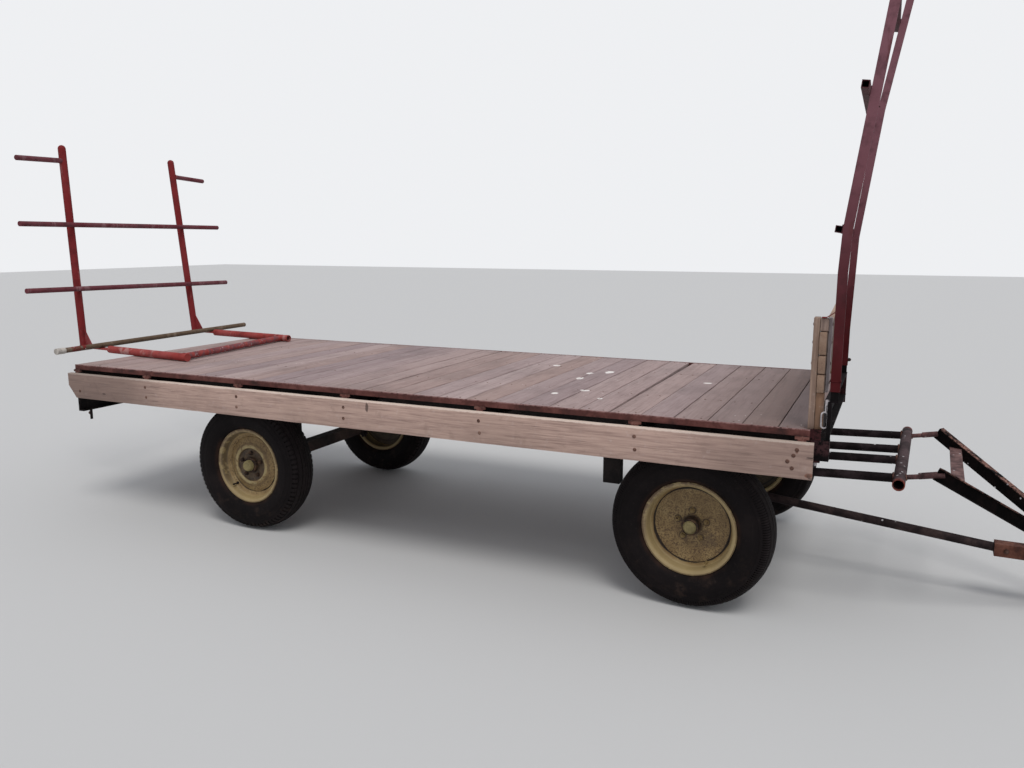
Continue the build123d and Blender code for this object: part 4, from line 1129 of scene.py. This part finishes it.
# Headboard, in its own frame: X from the inner posts' rear faces, Y to the left
head_half = deck_half_width - 0.004
head_top = 1.377
plank_levels = (1.070, 1.148, 1.226, 1.322)
plank_low, plank_high = plank_levels[0], plank_levels[-1]
inner_layer = 0.026
outer_layer = inner_layer + 0.032
batten_layer = outer_layer + 0.013
post_row = head_half - 0.050
post_half_width = 0.035
batten_row = head_half - 0.060
batten_half_width = 0.025
# side, top of the inner post and top of the batten
head_ends = ((-1, head_top, head_top), (1, 1.226, plank_high))


def timber(name, low, high, axis, cuts, seed, rounding=0.0025):
    piece = sawn_block(name, low, high)
    divide_lengthways(piece, axis, cuts)
    weather(piece, 0.0011, seed)
    round_edges(piece, rounding, 2, 50)
    mark(piece, "shade", chance.random())
    return piece


posts = [timber("post", (0, side * post_row - post_half_width, deck_top),
                (inner_layer - 0.0012, side * post_row + post_half_width, post_top), 2, 12, 60 + i)
         for i, (side, post_top, batten_top) in enumerate(head_ends)]
posts = even_shine(set_out(join("headboard_inner_posts", posts), headboard_place), 40)
fit(posts, "wagon", post_wood, ["headboard_posts"])
# side, bottom and top of each block between the posts and the battens
foot_rows = (
    (-1, deck_top, plank_low - 0.001), (1, deck_top, plank_low - 0.001), (-1, plank_high + 0.001, head_top),
)
feet = [timber("foot", (inner_layer, side * post_row - post_half_width, low),
               (outer_layer, side * post_row + post_half_width, high), 2, 6, 70 + i)
        for i, (side, low, high) in enumerate(foot_rows)]
cap_block = set_out(feet.pop(), headboard_place)
cap_block.name = "headboard_cap_block"
fit(even_shine(cap_block, 40), "wagon", post_wood)
feet = even_shine(set_out(join("headboard_feet", feet), headboard_place), 40)
fit(feet, "wagon", foot_wood, ["headboard_blocks"])
boards = [timber("board", (inner_layer, -head_half, low + 0.0025),
                 (outer_layer - 0.0008, head_half, high - 0.0025), 1, 20, 80 + i, 0.004)
          for i, (low, high) in enumerate(zip(plank_levels, plank_levels[1:]))]
boards = even_shine(set_out(join("headboard_boards", boards), headboard_place), 40)
fit(boards, "wagon", plank_wood, ["headboard_planks"])
strips = [timber("strip", (outer_layer, side * batten_row - batten_half_width, plank_low),
                 (batten_layer, side * batten_row + batten_half_width, batten_top), 2, 10, 90 + i)
          for i, (side, post_top, batten_top) in enumerate(head_ends)]
strips = even_shine(set_out(join("headboard_strips", strips), headboard_place), 40)
fit(strips, "wagon", batten_wood, ["headboard_battens"])
studs = []
stud_levels = [(low + high) / 2 for low, high in zip(plank_levels, plank_levels[1:] + (head_top,))]
for side, post_top, batten_top in head_ends:
    for level in stud_levels:
        if level < batten_top:
            place = (batten_layer - 0.0008, side * batten_row + chance.uniform(-0.006, 0.006), level)
            studs.append(facing(place, (1, 0, 0)))
        if level < post_top:
            place = (0.0008, side * post_row + chance.uniform(-0.01, 0.01), level)
            studs.append(facing(place, (-1, 0, 0)))
studs = set_out(scatter("headboard_bolts", dome_head("stud", 0.0075, 0.004), studs), headboard_place)
fit(studs, "wagon", bolt_rust)

# Welds: a lumpy run is made once, and laid along every seam
weld_model = round_bar("weld_model", (0, 0, -0.5), (0, 0, 0.5), 1, 8)
bench(weld_model)
bpy.ops.mesh.select_all(action="SELECT")
bpy.ops.mesh.subdivide(number_cuts=5)
off_bench()
weather(weld_model, 0.22, 7)
even_shine(weld_model, 70)


def weld_seams(name, body, place, runs, rings=(), finish=weld_rust):
    # a run has a start, an end and a radius, and a ring a centre, a direction, a radius and its thickness
    pieces = []
    for start, end, radius in runs:
        start, end = Vector(start), Vector(end)
        run = end - start
        pieces.append(copy_to(weld_model, facing((start + end) / 2, run)
                              @ Matrix.Diagonal((radius, radius, run.length, 1))))
    for number, (centre, direction, ring, thickness) in enumerate(rings):
        pieces.append(bead("ring", centre, direction, ring, thickness, number + 1))
    welds = set_out(join(name, pieces), place)
    return fit(welds, body, finish)


cleat_places = (deck_rear + 0.0285, -3.267, -2.563, -1.834, -1.037, -0.258, deck_front - 0.0285)
weld_seams("bracket_welds", "wagon", wagon_place, [
    ((x - 0.024, side * 0.8595, 0.8855), (x + 0.024, side * 0.8595, 0.8855), 0.0042)
    for x in cleat_places for side in (-1, 1)
])

# Front rack: side of each post, its gap, and its bends as level and lean
rack_rear = batten_layer
post_half = 0.019
rack_post_y = deck_half_width - post_half
rack_posts = {
    -1: (0.008, ((1.560, 2.7), (1.729, 7.5), (9, 0))),
    1: (0.006, ((1.170, 1.7), (1.700, 7.15), (2.400, 10.4), (9, 0))),
}
rack_bar_levels = ((1.730, 1.730), (2.246, 2.322), (2.850, 2.850))


def post_rear(side, level):
    gap, bends = rack_posts[side]
    reach, lean = 0.0, 0.0
    for (start, degrees), (end, following) in zip(bends, bends[1:]):
        if level > start:
            lean = math.radians(degrees)
            reach += (min(level, end) - start) * math.tan(lean)
    return rack_rear + gap + post_half + reach - post_half / math.cos(lean)


runs = []
for levels in rack_bar_levels:
    for side, level in zip((-1, 1), levels):
        for seam_level in (level - 0.0145, level + 0.0145):
            x, y = post_rear(side, seam_level) - 0.0015, side * rack_post_y
            runs.append(((x, y - 0.017, seam_level), (x, y + 0.017, seam_level), 0.0036))
# the near post's foot is welded all round
near_x, foot_level = rack_rear + rack_posts[-1][0] + post_half, 1.123
corners = [(near_x + a * post_half, -rack_post_y + b * post_half, foot_level)
           for a, b in ((-1, -1), (1, -1), (1, 1), (-1, 1))]
runs += [(corner, following, 0.0028) for corner, following in zip(corners, corners[1:] + corners[:1])]
weld_seams("front_rack_welds", "wagon", headboard_place, runs, finish=maroon_paint)

# Rear rack, in its own frame: X forward along the arms
plate_top = 0.9468
tail_rows = (
    # place across, foot, lean, direction and level of the stub, place of the cross tube, levels of the rails
    (0.0, 0.0, math.radians(2.5), -1, 2.220, 1.048, (1.350, 1.789)),
    (1.101, -0.196, math.radians(7), 1, 2.192, 0.796, (1.329, 1.789)),
)
runs, rings = [], []
for v, foot, lean, outward, stub_level, cross_u, levels in tail_rows:
    rings.append(((foot, v, plate_top + 0.001), (0, 0, 1), 0.0255, 0.0040))
    stub_u = foot - (stub_level - plate_top) * math.tan(lean)
    rings.append(((stub_u, v + outward * 0.0235, stub_level), (0, 1, 0), 0.0175, 0.0036))
    inward = 1 if v == 0 else -1
    rings.append(((cross_u - 0.0054, v + inward * 0.0235, 0.9418), (0.229 * -inward, 1 * inward, 0),
                  0.0215, 0.0038))
    for seam_v in (v - 0.0055, v + 0.0055):
        runs.append(((foot + 0.030, seam_v, plate_top + 0.0005), (foot + 0.095, seam_v, plate_top + 0.0005),
                     0.0034))
    for level in levels:
        for seam_level in (level - 0.010, level + 0.010):
            u = foot - (seam_level - plate_top) * math.tan(lean) + 0.0250
            runs.append(((u, v - 0.012, seam_level), (u, v + 0.012, seam_level), 0.0040))
weld_seams("rear_rack_welds", "wagon", rear_rack_place, runs, rings, upright_red)

# Tow frame, in the carriage's frame
cross_tube_x, cross_tube_z = 0.852, 0.655
tow_tube_rows = (-0.455, -0.116, 0.116, 0.455)
rod_row = 0.440
rings = [((cross_tube_x - 0.0258, y, cross_tube_z), (1, 0, 0.04), 0.0205, 0.0045) for y in tow_tube_rows]
rings += [((cross_tube_x + 0.0255, y, cross_tube_z + 0.003), (1, 0, 0.2), 0.0115, 0.0036)
          for y in (-rod_row, rod_row)]
rings.append(((1.7005, 0, 0.252), (1, 0, 0), 0.0205, 0.0045))
weld_seams("tow_frame_welds", "front_carriage", carriage_place, [], rings)
bpy.data.objects.remove(weld_model)
sleeves = []
for side in (-1, 1):
    start = Vector((cross_tube_x, side * rod_row, cross_tube_z))
    run = Vector((1.006, side * 0.435, 0.685)) - start
    sleeve = round_bar("sleeve", start + run * 0.48, start + run * 0.96, 0.0145, 20)
    sleeves.append(round_edges(sleeve, 0.002, 2))
sleeves = even_shine(set_out(join("rod_sleeves", sleeves), carriage_place), 40)
fit(sleeves, "front_carriage", rod_rust)

# Axle clamps: a saddle plate under the beam, four rods and their nuts
small_nut = hex_nut("small_nut", 0.017, 0.010, 0.005, 0.006)
axle_bottom = wheel_radius - 0.035
saddle = sawn_block("saddle", (-0.058, -0.027, -0.008), (0.058, 0.027, -0.0002))
round_edges(saddle, 0.002, 2)
clamp_parts = [saddle]
for x in (-0.043, 0.043):
    for y in (-0.016, 0.016):
        clamp_parts.append(round_bar("rod", (x, y, -0.006), (x, y, 0.084), 0.0052, 12))
        clamp_parts.append(copy_to(small_nut, facing((x, y, -0.008), (0, 0, -1), x + y)))
clamp = even_shine(join("clamp", clamp_parts), 35)
for name, body, place, x, y in (("rear_axle_clamps", "wagon", wagon_place, -wheelbase, 0.360),
                                ("front_axle_clamps", "front_carriage", carriage_place, 0, 0.300)):
    spare = copy_to(clamp, Matrix.Identity(4))
    clamps = scatter(name, spare, [Matrix.Translation((x, side * y, axle_bottom)) for side in (-1, 1)])
    fit(set_out(clamps, place), body, dark_steel)
bpy.data.objects.remove(clamp)


def nut_set(name, body, place, spots, finish=bolt_rust):
    # nuts on flat faces, each with its place and the way that it faces
    spare = copy_to(small_nut, Matrix.Identity(4))
    places = [facing(at, normal, number * 0.7) for number, (at, normal) in enumerate(spots)]
    fit(even_shine(set_out(scatter(name, spare, places), place), 30), body, finish)


turntable_radius = 0.340


def on_ring(angles, level, normal):
    # places round the turntable
    turns = [math.radians(angle) for angle in angles]
    return [((turntable_radius * math.cos(turn), turntable_radius * math.sin(turn), level), normal)
            for turn in turns]


nut_set("upper_ring_nuts", "wagon", wagon_place, on_ring((0, 60, 120, 180, 240, 300), 0.6883, (0, 0, 1)))
nut_set("lower_ring_nuts", "front_carriage", carriage_place,
        on_ring((30, 90, 150, 210, 270, 330), 0.6644, (0, 0, -1)))
nut_set("front_beam_nuts", "wagon", wagon_place, [
    ((0.510, side * 0.838, front_beam_bottom + 0.0002), (0, 0, -1)) for side in (-1, 1)], zinc)
nut_set("hanging_strap_nut", "wagon", wagon_place, [((deck_rear + 0.0382, -0.800, 0.600), (-1, 0, 0))])
nut_set("far_sleeve_nut", "wagon", headboard_place, [
    ((rack_rear + rack_posts[1][0] + 2 * post_half - 0.0002, 0.838, 0.992), (1, 0, 0))], hub_rust)
nut_set("coupler_nuts", "front_carriage", carriage_place, [
    ((x, side * 0.0348, 0.252), (0, side, 0)) for x in (1.32, 1.40) for side in (-1, 1)])
bpy.data.objects.remove(small_nut)

# Plates in the front beam's open ends; the far one reaches below it
plates = []
for side, low in ((-1, front_beam_bottom + 0.0075), (1, 0.735)):
    inner, outer = sorted((side * (deck_half_width - 0.008), side * (deck_half_width - 0.001)))
    plate = sawn_block("plate", (deck_front + 0.0075, inner, low),
                       (deck_front + 0.043, outer, deck_top - 0.0075))
    plates.append(round_edges(plate, 0.0012, 2))
plates = even_shine(set_out(join("front_beam_end_plates", plates), wagon_place), 40)
fit(plates, "wagon", beam_steel_and_shade)

# King pin's nut, with slots for its split pin
castle = round_bar("king_pin_nut", (0, 0, 0.5885), (0, 0, 0.6065), 0.033, 6)
for number in range(3):
    slot = sawn_block("slot", (-0.04, -0.003, 0.585), (0.04, 0.003, 0.594))
    cut_away(castle, set_out(slot, Matrix.Rotation(math.radians(30 + 60 * number), 4, "Z")))
round_edges(castle, 0.0012, 1)
even_shine(set_out(castle, wagon_place), 30)
fit(castle, "wagon", bolt_rust)

# A hook, a link and a long ring hanging beside the near post, and a strap from the headboard's top to it


def chain_link(name, place, radius, thickness, stretch, turn):
    # an oval link that hangs from this place, turned this far about the upright
    lay_down_all()
    bpy.ops.mesh.primitive_torus_add(major_radius=radius, minor_radius=thickness, major_segments=28,
                                     minor_segments=10, rotation=(math.radians(90), 0, 0))
    piece = fix_place(bpy.context.object)
    piece.name = name
    bench(piece)
    pick_points(piece, lambda p: p.z < -0.0005)
    bpy.ops.transform.translate(value=(0, 0, -stretch))
    off_bench()
    hang = Matrix.Translation((place[0], place[1], place[2] - radius - thickness))
    return set_out(piece, hang @ Matrix.Rotation(math.radians(turn), 4, "Z"))


chain_x, chain_y = 0.0720, -0.834
hook = round_bar("hook", (chain_x, chain_y, 1.020), (chain_x, chain_y, 1.044), 0.0088, 16)
chain_parts = [round_edges(hook, 0.003, 2),
               chain_link("link", (0.0700, -0.8385, 1.028), 0.0065, 0.0027, 0.022, 60),
               chain_link("ring", (0.0640, -0.8430, 0.996), 0.0125, 0.0034, 0.042, 8)]
chain = even_shine(set_out(join("hanging_chain", chain_parts), headboard_place), 50)
fit(chain, "wagon", zinc)
strap_low = head_top + 0.0012
strap_high = strap_low + 0.003
strap_near, strap_far = -0.846, -0.818
flat_part = sawn_block("flat_part", (0.030, strap_near, strap_low), (0.050, strap_far, strap_high))
rise = sawn_block("rise", (0.048, strap_near, strap_low), (0.0785, strap_far, strap_high))
bench(rise)
pick_points(rise, lambda p: p.x > 0.07)
bpy.ops.transform.translate(value=(0, 0, 0.021))
off_bench()
strap = join("headboard_strap", [round_edges(flat_part, 0.0008, 1), round_edges(rise, 0.0008, 1)])
fit(even_shine(set_out(strap, headboard_place), 40), "wagon", strap_red)

# The loose pole's end cap
pole_slope = -0.196 / 1.101
pole_u = 0.206
pole_z = plate_top + 0.0003 + 0.0175
cap_start = (pole_u + pole_slope * -0.3655, -0.3655, pole_z)
cap_end = (pole_u + pole_slope * -0.300, -0.300, pole_z)
pole_cap = round_edges(round_bar("pole_end_cap", cap_start, cap_end, 0.0205, 32), 0.003, 2)
fit(even_shine(set_out(pole_cap, rear_rack_place), 40), "wagon", pale_plastic)

# Light and camera
lay_down_all()
bpy.ops.mesh.primitive_plane_add(size=80, location=(0, 0, 0))
floor = bpy.context.object
floor.name = "floor"
floor_paint = bpy.data.materials.new("pale_floor")
floor_paint.use_nodes = True
floor_shader = floor_paint.node_tree.nodes["Principled BSDF"]
floor_shader.inputs["Base Color"].default_value = (0.60, 0.60, 0.60, 1)
floor_shader.inputs["Roughness"].default_value = 0.9
floor.data.materials.append(floor_paint)

world = bpy.data.worlds.new("studio_sky")
bpy.context.scene.world = world
world.use_nodes = True
sky = world.node_tree
backdrop = sky.nodes["Background"]
backdrop.inputs["Color"].default_value = (0.80, 0.82, 0.86, 1)
backdrop.inputs["Strength"].default_value = 0.72
seen = sky.nodes.new("ShaderNodeBackground")
seen.inputs["Color"].default_value = (0.86, 0.87, 0.89, 1)
seen.inputs["Strength"].default_value = 1.0
rays = sky.nodes.new("ShaderNodeLightPath")
either = sky.nodes.new("ShaderNodeMixShader")
sky.links.new(rays.outputs["Is Camera Ray"], either.inputs[0])
sky.links.new(backdrop.outputs[0], either.inputs[1])
sky.links.new(seen.outputs[0], either.inputs[2])
sky.links.new(either.outputs[0], sky.nodes["World Output"].inputs["Surface"])

lamp = bpy.data.lights.new("soft_key", "SUN")
lamp.energy = 1.3
lamp.angle = math.radians(25)
lamp.color = (1.0, 0.98, 0.95)
key = bpy.data.objects.new("soft_key", lamp)
bpy.context.scene.collection.objects.link(key)
key.rotation_euler = Vector((0.35, -0.45, 1.0)).to_track_quat("Z", "Y").to_euler()

eye = pin + Vector((0.7869, -4.4313, 1.6908))
right = Vector((0.9076, 0.4199, 0.0))
up = Vector((-0.0714, 0.1544, 0.9855))
ahead = Vector((-0.4138, 0.8944, -0.1701))
camera_data = bpy.data.cameras.new("photo_view")
camera_data.lens = 29.49
camera_data.sensor_width = 36
camera_data.sensor_fit = "HORIZONTAL"
camera = bpy.data.objects.new("photo_view", camera_data)
bpy.context.scene.collection.objects.link(camera)
camera.matrix_world = Matrix((
    (right.x, up.x, -ahead.x, eye.x),
    (right.y, up.y, -ahead.y, eye.y),
    (right.z, up.z, -ahead.z, eye.z),
    (0, 0, 0, 1),
))
bpy.context.scene.camera = camera
bpy.context.scene.view_settings.view_transform = "Standard"
